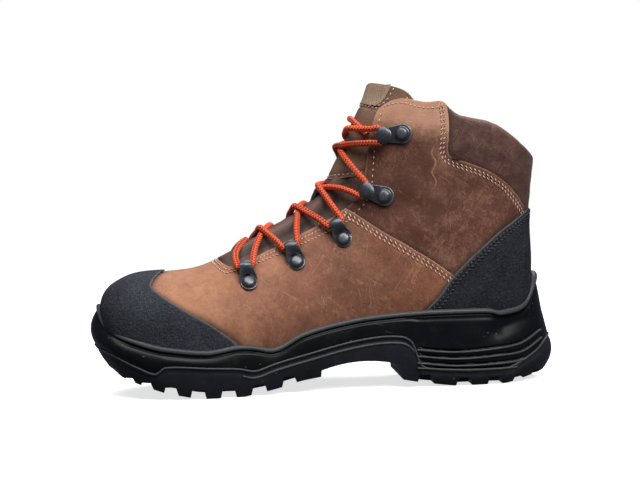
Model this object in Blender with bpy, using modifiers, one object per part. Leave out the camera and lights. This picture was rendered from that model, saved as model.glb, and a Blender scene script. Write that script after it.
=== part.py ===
"""Mid-height lace-up hunting boot for the right foot, standing empty on its sole.

The toe points to -X, the inner (big-toe) side faces -Y and +Z is up. The origin is on the floor,
under the middle of the boot. Tables and sizes are in millimetres; meshes are made in metres.

The upper, its overlays, the tongue, the insole and the seat in the midsole all come from one form:
a fan of sections that runs from the toe, over the instep and round the heel, to the collar.
"""

import bisect
import functools
import math
from collections import namedtuple

import bmesh
import bpy
import numpy as np
from mathutils import Matrix, Vector

MM = 0.001

# Driving sizes
GAP = 0.3  # air between neighbouring pieces
WALL = 2.6  # leather, padding and lining of the upper
OVERLAY = 1.4  # toe cap and heel counter
TONGUE_THICKNESS = 4.5
TONGUE_START = 6.0  # places on the form
TONGUE_END = 16.95
TONGUE_CORNER = 14.5  # above here the tongue's corners round off
TONGUE_RINGS = 16
TONGUE_CLEARANCE = 1.2  # air between the tongue and the facings
TONGUE_RISE = 2.6  # how far the tongue swells up between the facings
INSOLE_THICKNESS = 4.5
LIP = 2.5  # width of the outsole's raised edge
RIM_BEVEL = 1.6  # rounded top edge of the midsole
LACE_RADIUS = 2.2

# Sections of the form, from the toe tip to the collar. Each is a closed loop in a plane across the
# boot, from a base point (sole or heel) to a ridge point (vamp, instep or shin).
# inner, outer: half widths from the centre line, which lies at y = centre
# widest: where the section is widest, as a share of the way from base to ridge
# base_power, ridge_power: squareness of the loop below and above its widest place (2 is an ellipse)
# throat: half width of the lacing gap; seat: half width of the opening under the foot
# bow: how far the section is lifted out of its plane towards the collar, times LIFT
Section = namedtuple(
    "Section",
    "ridge_x ridge_z base_x base_z centre inner outer widest base_power ridge_power throat seat bow",
)
SECTIONS = [
    Section(-145.0, 52.0, -145.0, 52.0, -9.0, 0.0, 0.0, 0.44, 2.1, 2.1, 0, -4, 0),  # toe tip
    Section(-142.5, 65.0, -140.0, 37.0, -9.0, 23.0, 20.0, 0.42, 2.4, 2.2, 0, -2, 0),
    Section(-136.0, 73.0, -131.0, 28.5, -8.5, 33.5, 29.5, 0.40, 3.0, 2.3, 0, 12, 0),
    Section(-124.0, 77.5, -116.0, 22.5, -7.0, 42.0, 39.5, 0.38, 4.0, 2.4, 0, 25, 0),
    Section(-104.0, 80.5, -98.0, 18.0, -5.0, 47.5, 48.0, 0.37, 4.5, 2.4, 0, 32, 0),
    Section(-83.0, 85.2, -76.0, 16.8, -3.0, 48.8, 51.5, 0.36, 4.5, 2.2, 0, 34, 0),  # ball
    Section(-64.0, 92.8, -50.0, 17.5, -1.5, 47.0, 51.0, 0.34, 4.5, 2.0, 17, 33, 0),
    Section(-46.0, 101.0, -18.0, 21.0, 0.0, 42.0, 46.5, 0.32, 4.2, 1.8, 20, 29, 0),
    Section(-22.0, 113.5, 22.0, 27.0, 0.0, 36.5, 41.5, 0.34, 4.0, 1.7, 22, 25, 0),  # instep
    Section(-3.0, 126.5, 62.0, 31.0, 0.0, 35.0, 38.0, 0.38, 3.6, 1.72, 22.5, 23, 0),
    Section(7.5, 139.0, 102.0, 33.0, 0.0, 35.0, 36.5, 0.42, 3.2, 1.85, 23, 18, 0),  # ankle bend
    Section(12.5, 149.0, 130.0, 36.5, 0.0, 36.5, 37.0, 0.45, 2.8, 2.0, 23.5, 6, 0),
    Section(16.0, 157.5, 139.2, 51.0, 0.0, 37.5, 38.0, 0.47, 2.6, 2.1, 24, -8, 0),  # heel
    Section(19.5, 166.0, 140.3, 76.0, 0.0, 38.5, 39.0, 0.48, 2.5, 2.2, 24.5, -8, 0.5),
    Section(23.5, 175.0, 140.0, 102.0, 0.0, 39.5, 40.0, 0.49, 2.4, 2.3, 25, -8, 3),
    Section(28.0, 184.0, 141.6, 128.0, 0.0, 40.5, 41.0, 0.50, 2.4, 2.4, 25.5, -8, 8),
    Section(31.5, 190.5, 144.0, 149.0, 0.0, 40.5, 41.0, 0.50, 2.4, 2.4, 26, -8, 14.5),  # collar
    Section(35.5, 201.5, 147.0, 171.0, 0.0, 40.5, 41.0, 0.50, 2.4, 2.4, 26, -8, 14.5),  # tongue
]
COLLAR = 16.0

# Lift of a bowed section by the share of the way from the heel to the shin: the back of the collar
# is lower than the sides of the shaft
Lift = namedtuple("Lift", "share height")
LIFT = [
    Lift(0.0, 0.0),
    Lift(0.09, 0.30),
    Lift(0.16, 0.55),
    Lift(0.24, 0.70),
    Lift(0.34, 0.76),
    Lift(0.44, 0.80),
    Lift(0.52, 0.92),
    Lift(0.60, 0.98),
    Lift(0.70, 0.84),
    Lift(0.80, 0.58),
    Lift(0.90, 0.20),
    Lift(1.0, 0.0),
]
THROAT_START = 6.0
THROAT_RUN = 0.8  # sections over which the throat opens to its full width
RINGS_PER_SECTION = 2
GIRTH_STEPS = 11  # facets from the base to the ridge, on each side

# Sole, from the toe tip to the back of the heel, by the place x on its widest outline.
# bottom, part, plate, rim: heights of the tread, the outsole's edge, the outsole's plate, the rim
# the last five: how far inside the outline the wall stands at tread, side, edge, midsole and rim
SoleRow = namedtuple(
    "SoleRow",
    "x centre inner outer bottom part plate rim tread_in side_in part_in mid_in rim_in",
)
SOLE = [
    SoleRow(-154.5, -11.0, 0.0, 0.0, 20.5, 34.0, 28.0, 63.0, 10.5, 6.0, 3.0, 0.0, 6.0),
    SoleRow(-148.0, -11.0, 21.5, 20.5, 18.5, 31.5, 25.0, 56.0, 9.5, 5.5, 2.5, 0.0, 5.5),
    SoleRow(-138.0, -10.0, 34.0, 32.5, 14.0, 25.5, 19.0, 43.5, 7.5, 4.0, 2.0, 0.0, 4.5),
    SoleRow(-122.0, -8.0, 45.5, 44.5, 9.0, 18.5, 13.0, 36.5, 6.0, 3.0, 1.5, 0.0, 3.5),
    SoleRow(-102.0, -5.5, 52.5, 54.5, 3.4, 18.5, 9.5, 32.5, 4.0, 1.5, 0.8, 0.3, 3.0),
    SoleRow(-78.0, -3.0, 55.0, 60.0, -0.6, 17.5, 8.0, 31.0, 3.0, 1.0, 0.5, 0.5, 3.0),
    SoleRow(-58.0, -1.5, 54.0, 60.0, -0.4, 16.8, 8.6, 33.6, 3.0, 1.0, 0.5, 0.5, 3.0),
    SoleRow(-46.0, -0.8, 52.2, 58.6, 1.5, 14.0, 10.0, 32.8, 3.0, 1.0, 0.5, 0.5, 3.0),
    SoleRow(-34.0, -0.3, 50.0, 56.2, 3.7, 17.0, 12.0, 30.8, 3.0, 1.0, 0.5, 0.5, 3.0),
    SoleRow(-14.0, 0.0, 46.5, 52.0, 8.4, 26.5, 16.0, 40.0, 3.0, 1.0, 0.5, 0.5, 3.0),
    SoleRow(18.0, 0.0, 42.3, 47.0, 11.0, 32.0, 22.0, 47.0, 3.0, 1.0, 0.5, 0.5, 3.0),
    SoleRow(44.0, 0.0, 40.8, 43.5, 6.2, 33.5, 22.5, 49.5, 3.0, 1.0, 0.5, 0.5, 3.0),
    SoleRow(60.0, 0.0, 40.8, 42.5, 3.2, 15.5, 14.5, 50.2, 3.0, 0.8, 0.3, 0.5, 3.0),
    SoleRow(90.0, 0.0, 41.3, 42.0, -0.6, 9.5, 9.5, 50.4, 3.0, 0.5, 0.0, 1.0, 3.3),
    SoleRow(116.0, 0.0, 39.5, 39.8, -0.2, 9.5, 9.5, 48.0, 4.0, 0.5, 0.3, 2.5, 5.0),
    SoleRow(138.0, 0.0, 30.0, 30.0, 3.6, 19.0, 14.0, 53.0, 5.0, 0.3, 1.0, 5.0, 8.5),
    SoleRow(150.0, 0.0, 17.0, 17.0, 5.4, 27.0, 18.0, 66.0, 5.5, 0.0, 2.0, 6.0, 8.8),
    SoleRow(154.5, 0.0, 0.0, 0.0, 5.8, 29.0, 20.0, 71.5, 5.5, 0.0, 2.0, 6.0, 9.0),
]
SOLE_STEPS = 36  # facets from toe to heel, on each side

# Tread: notches cut in from both edges, with a channel inside each row of lugs
Notch = namedtuple("Notch", "x width depth")
EDGE_NOTCHES = [
    Notch(-129.0, 4.5, 3.0),
    Notch(-118.0, 5.5, 3.5),
    Notch(-102.5, 6.5, 4.5),
    Notch(-85.0, 7.5, 5.5),
    Notch(-65.5, 7.5, 5.5),
    Notch(-45.5, 7.5, 5.5),
    Notch(-25.5, 7.0, 5.5),
    Notch(64.0, 8.0, 5.5),
    Notch(89.3, 8.0, 5.5),
    Notch(110.0, 7.5, 5.0),
    Notch(126.5, 5.0, 3.5),
    Notch(140.0, 4.5, 3.0),
]
CENTRE_NOTCHES = [
    Notch(-110.0, 5.0, 4.0),
    Notch(-93.0, 5.0, 4.0),
    Notch(-75.0, 5.0, 4.0),
    Notch(-55.0, 5.0, 4.0),
    Notch(-35.0, 5.0, 4.0),
    Notch(77.0, 6.0, 4.0),
    Notch(100.0, 6.0, 4.0),
]
NOTCH_FLARE = 1.4  # extra width on each side at the tip of the lugs
NOTCH_REACH = 20.0  # distance of a notch's inner end from the centre line
CHANNEL_REACH = 16.5  # distance of a channel's middle from the centre line
CHANNEL_WIDTH = 4.5
CHANNEL_DEPTH = 3.5
Channel = namedtuple("Channel", "x_start x_end")
CHANNELS = [Channel(-117.0, -12.0), Channel(54.0, 121.0)]
ARCH_FRONT = -4.5
ARCH_BACK = 46.0
ARCH_PEAK_X = 24.0
ARCH_PEAK = 18.6
ARCH_CURVE = 0.0058  # fall of the arch, per square millimetre from its peak

# Side outlines of the overlays' inner edges, as x and z; beyond them the prisms are plain
TOE_CAP_EDGE = [(-99, 95), (-105, 79), (-113, 74), (-106.5, 68), (-84, 51), (-60, 33), (-54, 10)]
COUNTER_EDGE = [(150, 123), (135, 110.5), (108, 90.5), (84, 72), (67, 49), (58, 10)]

# Lacing, from the vamp up: place on the form and turn of the piece's long axis
# turn runs from 0 where the section is widest to 1 at the ridge; tilt is in degrees from straight
# across the boot, towards the toe at the rivet
LacePoint = namedtuple("LacePoint", "kind section turn tilt")
LACE_POINTS = [
    LacePoint("loop", 6.50, 0.47, -4.0),
    LacePoint("loop", 7.60, 0.45, 12.0),
    LacePoint("loop", 8.85, 0.44, 18.0),
    LacePoint("hook", 11.45, 0.41, 23.0),
    LacePoint("hook", 14.4, 0.40, 24.0),
]
PLATE_RADIUS = 5.4
PLATE_LENGTH = {"loop": 10.5, "hook": 12.5}  # between the centres of its round ends
PLATE_THICKNESS = 1.0
RIVET_RADIUS = 4.0
TUNNEL_RADIUS = 4.1
TUNNEL_BORE = 2.9
TUNNEL_WIDTH = 9.0
LACE_POINTS_PER_STRAND = 6
LACE_CLEARANCE = 1.4  # air under a strand, over the tongue
FINAL_CROSS_RISE = 0.85  # sections from the top hooks to the ends of the last crossing

COLOURS = {
    "leather": ((0.17, 0.075, 0.04), 0.75, 0.0),
    "dark_leather": ((0.07, 0.035, 0.025), 0.8, 0.0),
    "guard": ((0.012, 0.013, 0.015), 0.85, 0.0),
    "midsole": ((0.01, 0.01, 0.011), 0.25, 0.0),
    "outsole": ((0.014, 0.015, 0.017), 0.6, 0.0),
    "lining": ((0.05, 0.045, 0.04), 0.9, 0.0),
    "metal": ((0.05, 0.055, 0.065), 0.35, 0.9),
    "lace": ((0.85, 0.12, 0.02), 0.7, 0.0),
}


def smooth_through(keys, rows, at, end_slope=1.0):
    """A cubic through the rows, with each row's slope taken from its two neighbours.

    end_slope scales the slope at the first and last row: 0 makes a column level there.
    """
    end = len(keys) - 1
    low = min(max(bisect.bisect_right(keys, at) - 1, 0), end - 1)
    span = keys[low + 1] - keys[low]
    t = (at - keys[low]) / span

    def slope(row):
        before, after = max(row - 1, 0), min(row + 1, end)
        steep = (rows[after] - rows[before]) / (keys[after] - keys[before]) * span
        return steep if 0 < row < end else steep * end_slope

    start, finish = rows[low], rows[low + 1]
    rise = finish - start
    bend = slope(low) + slope(low + 1) - 2 * rise
    return start + t * (slope(low) + t * (rise - slope(low) - bend + t * bend))


@functools.lru_cache(maxsize=None)
def section_at(place):
    """The section at a place along the form, counted in rows of SECTIONS."""
    rows = np.array(SECTIONS)
    return Section(*smooth_through(range(len(SECTIONS)), rows, place))


def lift_at(share):
    """The lift of a bowed section, at a share of the way from its base to its ridge."""
    heights = np.array([row.height for row in LIFT])
    return float(smooth_through([row.share for row in LIFT], heights, share))


def form_point(place, turn, side):
    """A point on the form: turn is -1 at the base, 0 where widest, 1 at the ridge; side is -1 or 1."""
    row = section_at(place)
    angle = turn * math.pi / 2
    power = row.base_power if turn < 0 else row.ridge_power
    half = row.inner if side < 0 else row.outer
    across = half * max(math.cos(angle), 0.0) ** (2 / power)
    reach = abs(math.sin(angle)) ** (2 / power)
    height = row.widest * (1 - reach) if turn < 0 else row.widest + (1 - row.widest) * reach
    base = Vector((row.base_x, 0, row.base_z))
    axis = Vector((row.ridge_x, 0, row.ridge_z)) - base
    arch = Vector((axis.z, 0, -axis.x)).normalized() if axis.length > GAP else Vector()
    lift = row.bow * lift_at(height)
    return base + axis * height + arch * lift + Vector((0, row.centre + side * across, 0))


def form_normal(place, turn, side):
    """The form's outward direction at a point."""
    if place <= 0:
        return Vector((-1, 0, 0))
    step = 0.02
    along = form_point(place + step, turn, side) - form_point(place - step, turn, side)
    if abs(turn) > 1 - step:
        across = Vector((0, side if turn < 0 else -side, 0))
    else:
        across = form_point(place, turn + step, side) - form_point(place, turn - step, side)
    return (along.cross(across) * -side).normalized()


def form_offset(place, turn, side, offset):
    """A point that stands off the form by the offset, outwards."""
    return form_point(place, turn, side) + form_normal(place, turn, side) * offset


def turn_at(place, side, half_width, above):
    """The turn where the form is that far from its centre line, above or below its widest place."""
    row = section_at(place)
    half = row.inner if side < 0 else row.outer
    if half <= 0:
        return 1.0 if above else -1.0
    power = row.ridge_power if above else row.base_power
    angle = math.acos(min(max(half_width / half, 0.0), 1.0) ** (power / 2))
    return (angle if above else -angle) * 2 / math.pi


def throat_half(place):
    """Half width of the lacing gap, with a round lower end."""
    opened = min(max((place - THROAT_START) / THROAT_RUN, 0.0), 1.0)
    return section_at(place).throat * math.sqrt(opened)


def spaced(start, end, count):
    """That many evenly spaced values, both ends included."""
    return [start + (end - start) * i / (count - 1) for i in range(count)]


def ring_places(start, end):
    """Places of the form's rings, with extra ones where the throat opens."""
    count = round((end - start) * RINGS_PER_SECTION) + 1
    extra = [THROAT_START + share * THROAT_RUN for share in (0.08, 0.28)]
    return sorted(spaced(start, end, count) + [e for e in extra if start < e < end])


def new_object(name, mesh, collection, colour=None):
    """An object for the mesh, in the collection, with its colour."""
    obj = bpy.data.objects.new(name, mesh)
    collection.objects.link(obj)
    if colour:
        mesh.materials.clear()
        mesh.materials.append(bpy.data.materials[colour])
    return obj


def finish_mesh(name, bm, outward=True):
    """Welds the mesh, points its faces outwards and scales it to metres."""
    bmesh.ops.remove_doubles(bm, verts=bm.verts, dist=0.002)
    if outward:
        bmesh.ops.recalc_face_normals(bm, faces=bm.faces)
    bmesh.ops.scale(bm, vec=(MM, MM, MM), verts=bm.verts)
    mesh = bpy.data.meshes.new(name)
    bm.to_mesh(mesh)
    bm.free()
    mesh.shade_smooth()
    mesh.set_sharp_from_angle(angle=math.radians(40))
    return mesh


def add_patch(bm, rings, flip=False):
    """A sheet of faces through rings of points."""
    rows = [[bm.verts.new(p) for p in ring] for ring in rings]
    for lower, upper in zip(rows, rows[1:]):
        for i in range(len(lower) - 1):
            corners = [lower[i], lower[i + 1], upper[i + 1], upper[i]]
            bm.faces.new(corners[::-1] if flip else corners)


def upper_turns(place, side):
    """Turns of the upper, from the opening under the foot to the edge of the throat."""
    seat = section_at(place).seat
    gap = throat_half(place)
    first = turn_at(place, side, seat, above=False) if seat > 1 else -1.0
    last = turn_at(place, side, gap, above=True) if gap > 0 else 1.0
    return spaced(first, last, GIRTH_STEPS)


def whole_turns(place, side):
    """Turns of the whole girth: those of the upper, and a few more across its two openings."""
    turns = upper_turns(place, side)
    return spaced(-1.0, turns[0], 3)[:-1] + turns + spaced(turns[-1], 1.0, 4)[1:]


def form_sheet(places, turns, offset):
    """Both sides of the form as an open sheet; turns gives each ring's turns."""
    bm = bmesh.new()
    for side in (-1, 1):
        rings = [[form_offset(place, t, side, offset) for t in turns(place, side)] for place in places]
        add_patch(bm, rings, flip=side < 0)
    return bm


def add_form_solid(name, offset, collection):
    """The form as a closed solid, up to the collar."""
    bm = form_sheet(ring_places(0.0, COLLAR), whole_turns, offset)
    bmesh.ops.remove_doubles(bm, verts=bm.verts, dist=0.002)
    bmesh.ops.holes_fill(bm, edges=[e for e in bm.edges if e.is_boundary])
    bmesh.ops.triangulate(bm, faces=[f for f in bm.faces if len(f.verts) > 4])
    return new_object(name, finish_mesh(name, bm), collection)


def add_prism(bm, outline, y_start, y_end):
    """A side outline of x and z points, drawn out across the boot."""
    face = bm.faces.new([bm.verts.new((x, y_start, z)) for x, z in outline])
    drawn = bmesh.ops.extrude_face_region(bm, geom=[face])["geom"]
    moved = [v for v in drawn if isinstance(v, bmesh.types.BMVert)]
    bmesh.ops.translate(bm, vec=(0, y_end - y_start, 0), verts=moved)


def add_boolean(obj, operation, other):
    """A Boolean modifier that cuts, joins or keeps the common part."""
    modifier = obj.modifiers.new(operation.lower() + "_" + other.name, "BOOLEAN")
    modifier.operation = operation
    modifier.object = other


def add_solidify(obj, thickness, offset):
    """Gives an open sheet its thickness: offset -1 is inwards, 1 outwards."""
    modifier = obj.modifiers.new("thickness", "SOLIDIFY")
    modifier.thickness = thickness * MM
    modifier.offset = offset
    modifier.use_even_offset = True


def make_upper(parts):
    """One hollow leather shell, open at the collar, the throat and under the foot."""
    bm = form_sheet(ring_places(0.0, COLLAR), upper_turns, 0.0)
    upper = new_object("upper", finish_mesh("upper", bm, outward=False), parts, "leather")
    add_solidify(upper, WALL, -1)


def make_overlay(name, places, edge, beyond_x, parts, cutters, sole_plug):
    """A guard over the upper: a thicker form kept on one side of its edge, above the sole's rim."""
    bm = form_sheet(places, upper_turns, GAP)
    overlay = new_object(name, finish_mesh(name, bm, outward=False), parts, "guard")
    add_solidify(overlay, OVERLAY, 1)
    prism = bmesh.new()
    reach = 80.0
    add_prism(prism, edge + [(beyond_x, edge[-1][1]), (beyond_x, edge[0][1])], -reach, reach)
    keeper = new_object(name + "_outline", finish_mesh(name + "_outline", prism), cutters)
    add_boolean(overlay, "INTERSECT", keeper)
    add_boolean(overlay, "DIFFERENCE", sole_plug)


@functools.lru_cache(maxsize=None)
def sole_row(angle):
    """The sole's row at an angle round its outline: 0 at the toe, pi at the heel."""
    middle = (SOLE[0].x + SOLE[-1].x) / 2
    half = (SOLE[-1].x - SOLE[0].x) / 2
    keys = [math.acos(min(max((middle - row.x) / half, -1.0), 1.0)) for row in SOLE]
    round_ends = np.array([name in ("inner", "outer") for name in SoleRow._fields], dtype=float)
    row = SoleRow(*smooth_through(keys, np.array(SOLE), angle, round_ends))
    return row._replace(x=middle - half * math.cos(angle), bottom=max(row.bottom, 0.0))


def outline_point(angle, side):
    """A point of the sole's widest outline."""
    row = sole_row(angle)
    half = row.inner if side < 0 else row.outer
    return Vector((row.x, row.centre + side * max(half, 0.0), 0))


def outline_outward(angle, side):
    """The outline's outward direction."""
    step = 0.03
    if angle < step or angle > math.pi - step:
        return Vector((-1 if angle < step else 1, 0, 0))
    along = outline_point(angle + step, side) - outline_point(angle - step, side)
    return Vector((-along.y * side, along.x * side, 0)).normalized()


def sole_loop(inset, height):
    """A closed loop round the sole; inset and height are functions of the row."""
    angles = spaced(0.0, math.pi, SOLE_STEPS + 1)
    loop = []
    for side, run in ((-1, angles), (1, angles[-2:0:-1])):
        for angle in run:
            row = sole_row(angle)
            point = outline_point(angle, side) - outline_outward(angle, side) * inset(row)
            loop.append(Vector((point.x, point.y, height(row))))
    return loop


def stack_loops(name, loops):
    """A closed solid through loops of the sole, with flat strips across its lowest and highest loop."""
    bm = bmesh.new()
    rows = [[bm.verts.new(p) for p in loop] for loop in loops]
    count = len(rows[0])
    for lower, upper in zip(rows, rows[1:]):
        for i in range(count):
            j = (i + 1) % count
            bm.faces.new([lower[i], lower[j], upper[j], upper[i]])
    for row in (rows[0], rows[-1]):
        for i in range(SOLE_STEPS):
            strip = [row[i], row[i + 1], row[count - i - 1], row[(count - i) % count]]
            bm.faces.new(list(dict.fromkeys(strip)))
    return finish_mesh(name, bm)


def midsole_loops(clearance):
    """Loops of the midsole before the foot's seat is cut; the clearance swells its outside."""
    inner = LIP + 0.5 + GAP
    return [
        sole_loop(lambda r: r.part_in + inner + 0.4, lambda r: r.plate + GAP),
        sole_loop(lambda r: r.part_in + inner, lambda r: max(r.part, r.plate + 0.6) + GAP),
        sole_loop(lambda r: r.part_in - clearance, lambda r: max(r.part, r.plate + 0.6) + GAP),
        sole_loop(lambda r: r.mid_in - clearance, lambda r: (r.part + r.rim) / 2),
        sole_loop(lambda r: r.rim_in - clearance, lambda r: r.rim - RIM_BEVEL + clearance * 2),
        sole_loop(lambda r: r.rim_in + RIM_BEVEL, lambda r: r.rim + clearance * 2),
    ]


def make_midsole(parts, cutters):
    """The moulded midsole: a cup with a raised rim that holds the upper."""
    midsole = new_object("midsole", stack_loops("midsole", midsole_loops(0.0)), parts, "midsole")
    add_boolean(midsole, "DIFFERENCE", add_form_solid("foot_seat", GAP * 1.5, cutters))


def bottom_at(x):
    """Height of the tread's tips at a place along the sole."""
    middle = (SOLE[0].x + SOLE[-1].x) / 2
    half = (SOLE[-1].x - SOLE[0].x) / 2
    return sole_row(math.acos((middle - x) / half)).bottom


def notch_outline(notch):
    """Side outline of a notch between two lugs, wider at the lugs' tips."""
    root = bottom_at(notch.x) + notch.depth
    tip = bottom_at(notch.x) - 6.0
    half = notch.width / 2
    flare = half + NOTCH_FLARE * (root - tip) / notch.depth
    return [(notch.x - half, root), (notch.x + half, root), (notch.x + flare, tip), (notch.x - flare, tip)]


def add_cutter(name, bm, target, cutters):
    """Cuts a mesh of prisms out of the target."""
    add_boolean(target, "DIFFERENCE", new_object(name, finish_mesh(name, bm), cutters))


def make_outsole(parts, cutters):
    """The rubber outsole: a shallow cup under the midsole, with an arch and lugs."""
    loops = [
        sole_loop(lambda r: r.tread_in, lambda r: r.bottom),
        sole_loop(lambda r: r.side_in, lambda r: (r.bottom + r.part) / 2),
        sole_loop(lambda r: r.part_in, lambda r: max(r.part, r.plate + 0.6)),
        sole_loop(lambda r: r.part_in + LIP, lambda r: max(r.part, r.plate + 0.6)),
        sole_loop(lambda r: r.part_in + LIP + 0.5, lambda r: r.plate),
    ]
    outsole = new_object("outsole", stack_loops("outsole", loops), parts, "outsole")
    far, below = 90.0, -8.0
    arch = bmesh.new()
    curve = [(x, ARCH_PEAK - ARCH_CURVE * (x - ARCH_PEAK_X) ** 2) for x in spaced(ARCH_FRONT, ARCH_BACK, 9)]
    add_prism(arch, curve + [(ARCH_BACK + 1.0, below), (ARCH_FRONT - 2.5, below)], -far, far)
    add_cutter("arch", arch, outsole, cutters)
    edges = bmesh.new()
    for notch in EDGE_NOTCHES:
        for side in (-1, 1):
            add_prism(edges, notch_outline(notch), side * NOTCH_REACH, side * far)
    add_cutter("edge_notches", edges, outsole, cutters)
    channels = bmesh.new()
    for channel in CHANNELS:
        run = spaced(channel.x_start, channel.x_end, 8)
        outline = [(x, bottom_at(x) + CHANNEL_DEPTH) for x in run]
        outline += [(x, bottom_at(x) - 6.0) for x in reversed(run)]
        for side in (-1, 1):
            start = side * CHANNEL_REACH - CHANNEL_WIDTH / 2
            add_prism(channels, outline, start, start + CHANNEL_WIDTH)
    add_cutter("channels", channels, outsole, cutters)
    middles = bmesh.new()
    for notch in CENTRE_NOTCHES:
        add_prism(middles, notch_outline(notch), -CHANNEL_REACH, CHANNEL_REACH)
    add_cutter("centre_notches", middles, outsole, cutters)


def make_insole(parts, cutters):
    """The footbed: the inside of the form, kept up to a level that follows the foot."""
    floor = WALL + GAP * 2.5
    level = floor + INSOLE_THICKNESS
    insole = add_form_solid("insole", -floor, parts)
    insole.data.materials.append(bpy.data.materials["lining"])
    profile = [(section_at(p).base_x, section_at(p).base_z + level) for p in spaced(1.0, 11.0, 21)]
    profile += [(160.0, profile[-1][1]), (160.0, 0.0), (-160.0, 0.0), (-160.0, profile[0][1])]
    slab = bmesh.new()
    add_prism(slab, profile, -80.0, 80.0)
    add_boolean(insole, "INTERSECT", new_object("insole_level", finish_mesh("insole_level", slab), cutters))


def tongue_turns(place, side):
    """The tongue's girth: it reaches behind the facings, further back towards the collar."""
    tuck = 8.0 + max(place - 13.0, 0.0) * 1.0
    reach = min(throat_half(max(place, 6.6)) + tuck, 36.5)
    return turn_at(place, side, reach, above=True), 1.0


def tongue_offset(place, turn, side):
    """The tongue lies under the facings and swells up between them."""
    gap = throat_half(place)
    out = abs(form_point(place, turn, side).y - section_at(place).centre)
    share = min(max((0.9 - out / gap) / 0.6, 0.0), 1.0) if gap > 8 else 0.0
    return -(WALL + TONGUE_CLEARANCE) + TONGUE_RISE * share * share * (3 - 2 * share)


def make_tongue(parts):
    """A padded tongue, from under the vamp to above the collar."""
    bm = bmesh.new()
    columns = 6
    for side in (-1, 1):
        rings = []
        for place in spaced(TONGUE_START, TONGUE_END, TONGUE_RINGS):
            ring = []
            for i, turn in enumerate(spaced(*tongue_turns(place, side), columns)):
                # the top corners are round
                corner = max(place - TONGUE_CORNER, 0.0) / (TONGUE_END - TONGUE_CORNER)
                lower = place - 1.05 * (1 - i / (columns - 1)) ** 4 * corner
                ring.append(form_offset(lower, turn, side, tongue_offset(lower, turn, side)))
            rings.append(ring)
        add_patch(bm, rings, flip=side < 0)
    tongue = new_object("tongue", finish_mesh("tongue", bm, outward=False), parts, "dark_leather")
    add_solidify(tongue, TONGUE_THICKNESS, -1)


def lace_frame(point, side):
    """Axes at a lacing point: x along the lace, y towards the throat, z out of the leather."""
    place, turn = point.section, point.turn
    out = form_normal(place, turn, side)
    across = form_point(place, turn + 0.05, side) - form_point(place, turn - 0.05, side)
    across = Matrix.Rotation(math.radians(point.tilt * -side), 3, out) @ across
    across = (across - out * across.dot(out)).normalized()
    along = across.cross(out)
    frame = Matrix((along, across, out)).transposed().to_4x4()
    frame.translation = form_point(place, turn, side)
    # where the leather is hollow, the flat plate stands on its highest places
    local = frame.inverted()
    stand = 0.0
    for p in spaced(place - 0.6, place + 0.6, 13):
        for t in spaced(turn - 0.3, turn + 0.3, 13):
            spot = local @ form_point(p, t, side)
            if abs(spot.x) < PLATE_RADIUS and abs(spot.y) < PLATE_LENGTH[point.kind] / 2 + PLATE_RADIUS:
                stand = max(stand, spot.z)
    frame.translation += out * (stand + GAP)
    return frame


def build_fitting(kind, cutters):
    """The mesh of a lace loop or hook: a riveted plate with a tunnel at its throat end."""
    half = PLATE_LENGTH[kind] / 2
    bm = bmesh.new()
    for y in (-half, half):
        for z in (0.0, PLATE_THICKNESS):
            bmesh.ops.create_circle(
                bm, cap_ends=False, segments=10, radius=PLATE_RADIUS, matrix=Matrix.Translation((0, y, z))
            )
    bmesh.ops.convex_hull(bm, input=bm.verts)
    bmesh.ops.delete(bm, geom=[v for v in bm.verts if not v.link_faces], context="VERTS")
    bmesh.ops.delete(bm, geom=[e for e in bm.edges if not e.link_faces], context="EDGES")
    plate = new_object(kind, finish_mesh(kind, bm), cutters, "metal")
    rivet = bmesh.new()
    bmesh.ops.create_uvsphere(rivet, u_segments=8, v_segments=5, radius=RIVET_RADIUS)
    bmesh.ops.scale(rivet, vec=(1, 1, 0.7), verts=rivet.verts)
    below = bmesh.ops.bisect_plane(
        rivet, geom=rivet.verts[:] + rivet.edges[:] + rivet.faces[:], plane_co=(0, 0, -0.5),
        plane_no=(0, 0, 1), clear_inner=True,
    )
    bmesh.ops.contextual_create(rivet, geom=[g for g in below["geom_cut"] if isinstance(g, bmesh.types.BMEdge)])
    bmesh.ops.translate(rivet, vec=(0, -half, PLATE_THICKNESS), verts=rivet.verts)
    centre = Vector((0, half, TUNNEL_RADIUS + 0.1))
    tubes = []
    for radius, width in ((TUNNEL_RADIUS, TUNNEL_WIDTH), (TUNNEL_BORE, TUNNEL_WIDTH * 2)):
        tube = bmesh.new()
        lying = Matrix.Translation(centre) @ Matrix.Rotation(math.pi / 2, 4, "Y")
        bmesh.ops.create_cone(
            tube, cap_ends=True, segments=10, radius1=radius, radius2=radius, depth=width, matrix=lying
        )
        tubes.append(tube)
    if kind == "hook":
        slot = [(-12.0, centre.z - 1.2), (centre.y, centre.z - 1.2), (centre.y, centre.z + 2.0), (-12.0, centre.z + 2.0)]
        mouth = bmesh.new()
        add_prism(mouth, slot, -12.0, 12.0)
        bmesh.ops.rotate(mouth, cent=(0, 0, 0), matrix=Matrix.Rotation(math.pi / 2, 3, "Z"), verts=mouth.verts)
    trims = [("rivet", rivet, "UNION"), ("tunnel", tubes[0], "UNION"), ("bore", tubes[1], "DIFFERENCE")]
    trims += [("mouth", mouth, "DIFFERENCE")] if kind == "hook" else []
    for name, trim, operation in trims:
        other = new_object(f"{kind}_{name}", finish_mesh(name, trim), cutters)
        add_boolean(plate, operation, other)
    graph = bpy.context.evaluated_depsgraph_get()
    mesh = bpy.data.meshes.new_from_object(plate.evaluated_get(graph))
    mesh.name = kind
    return mesh


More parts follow.
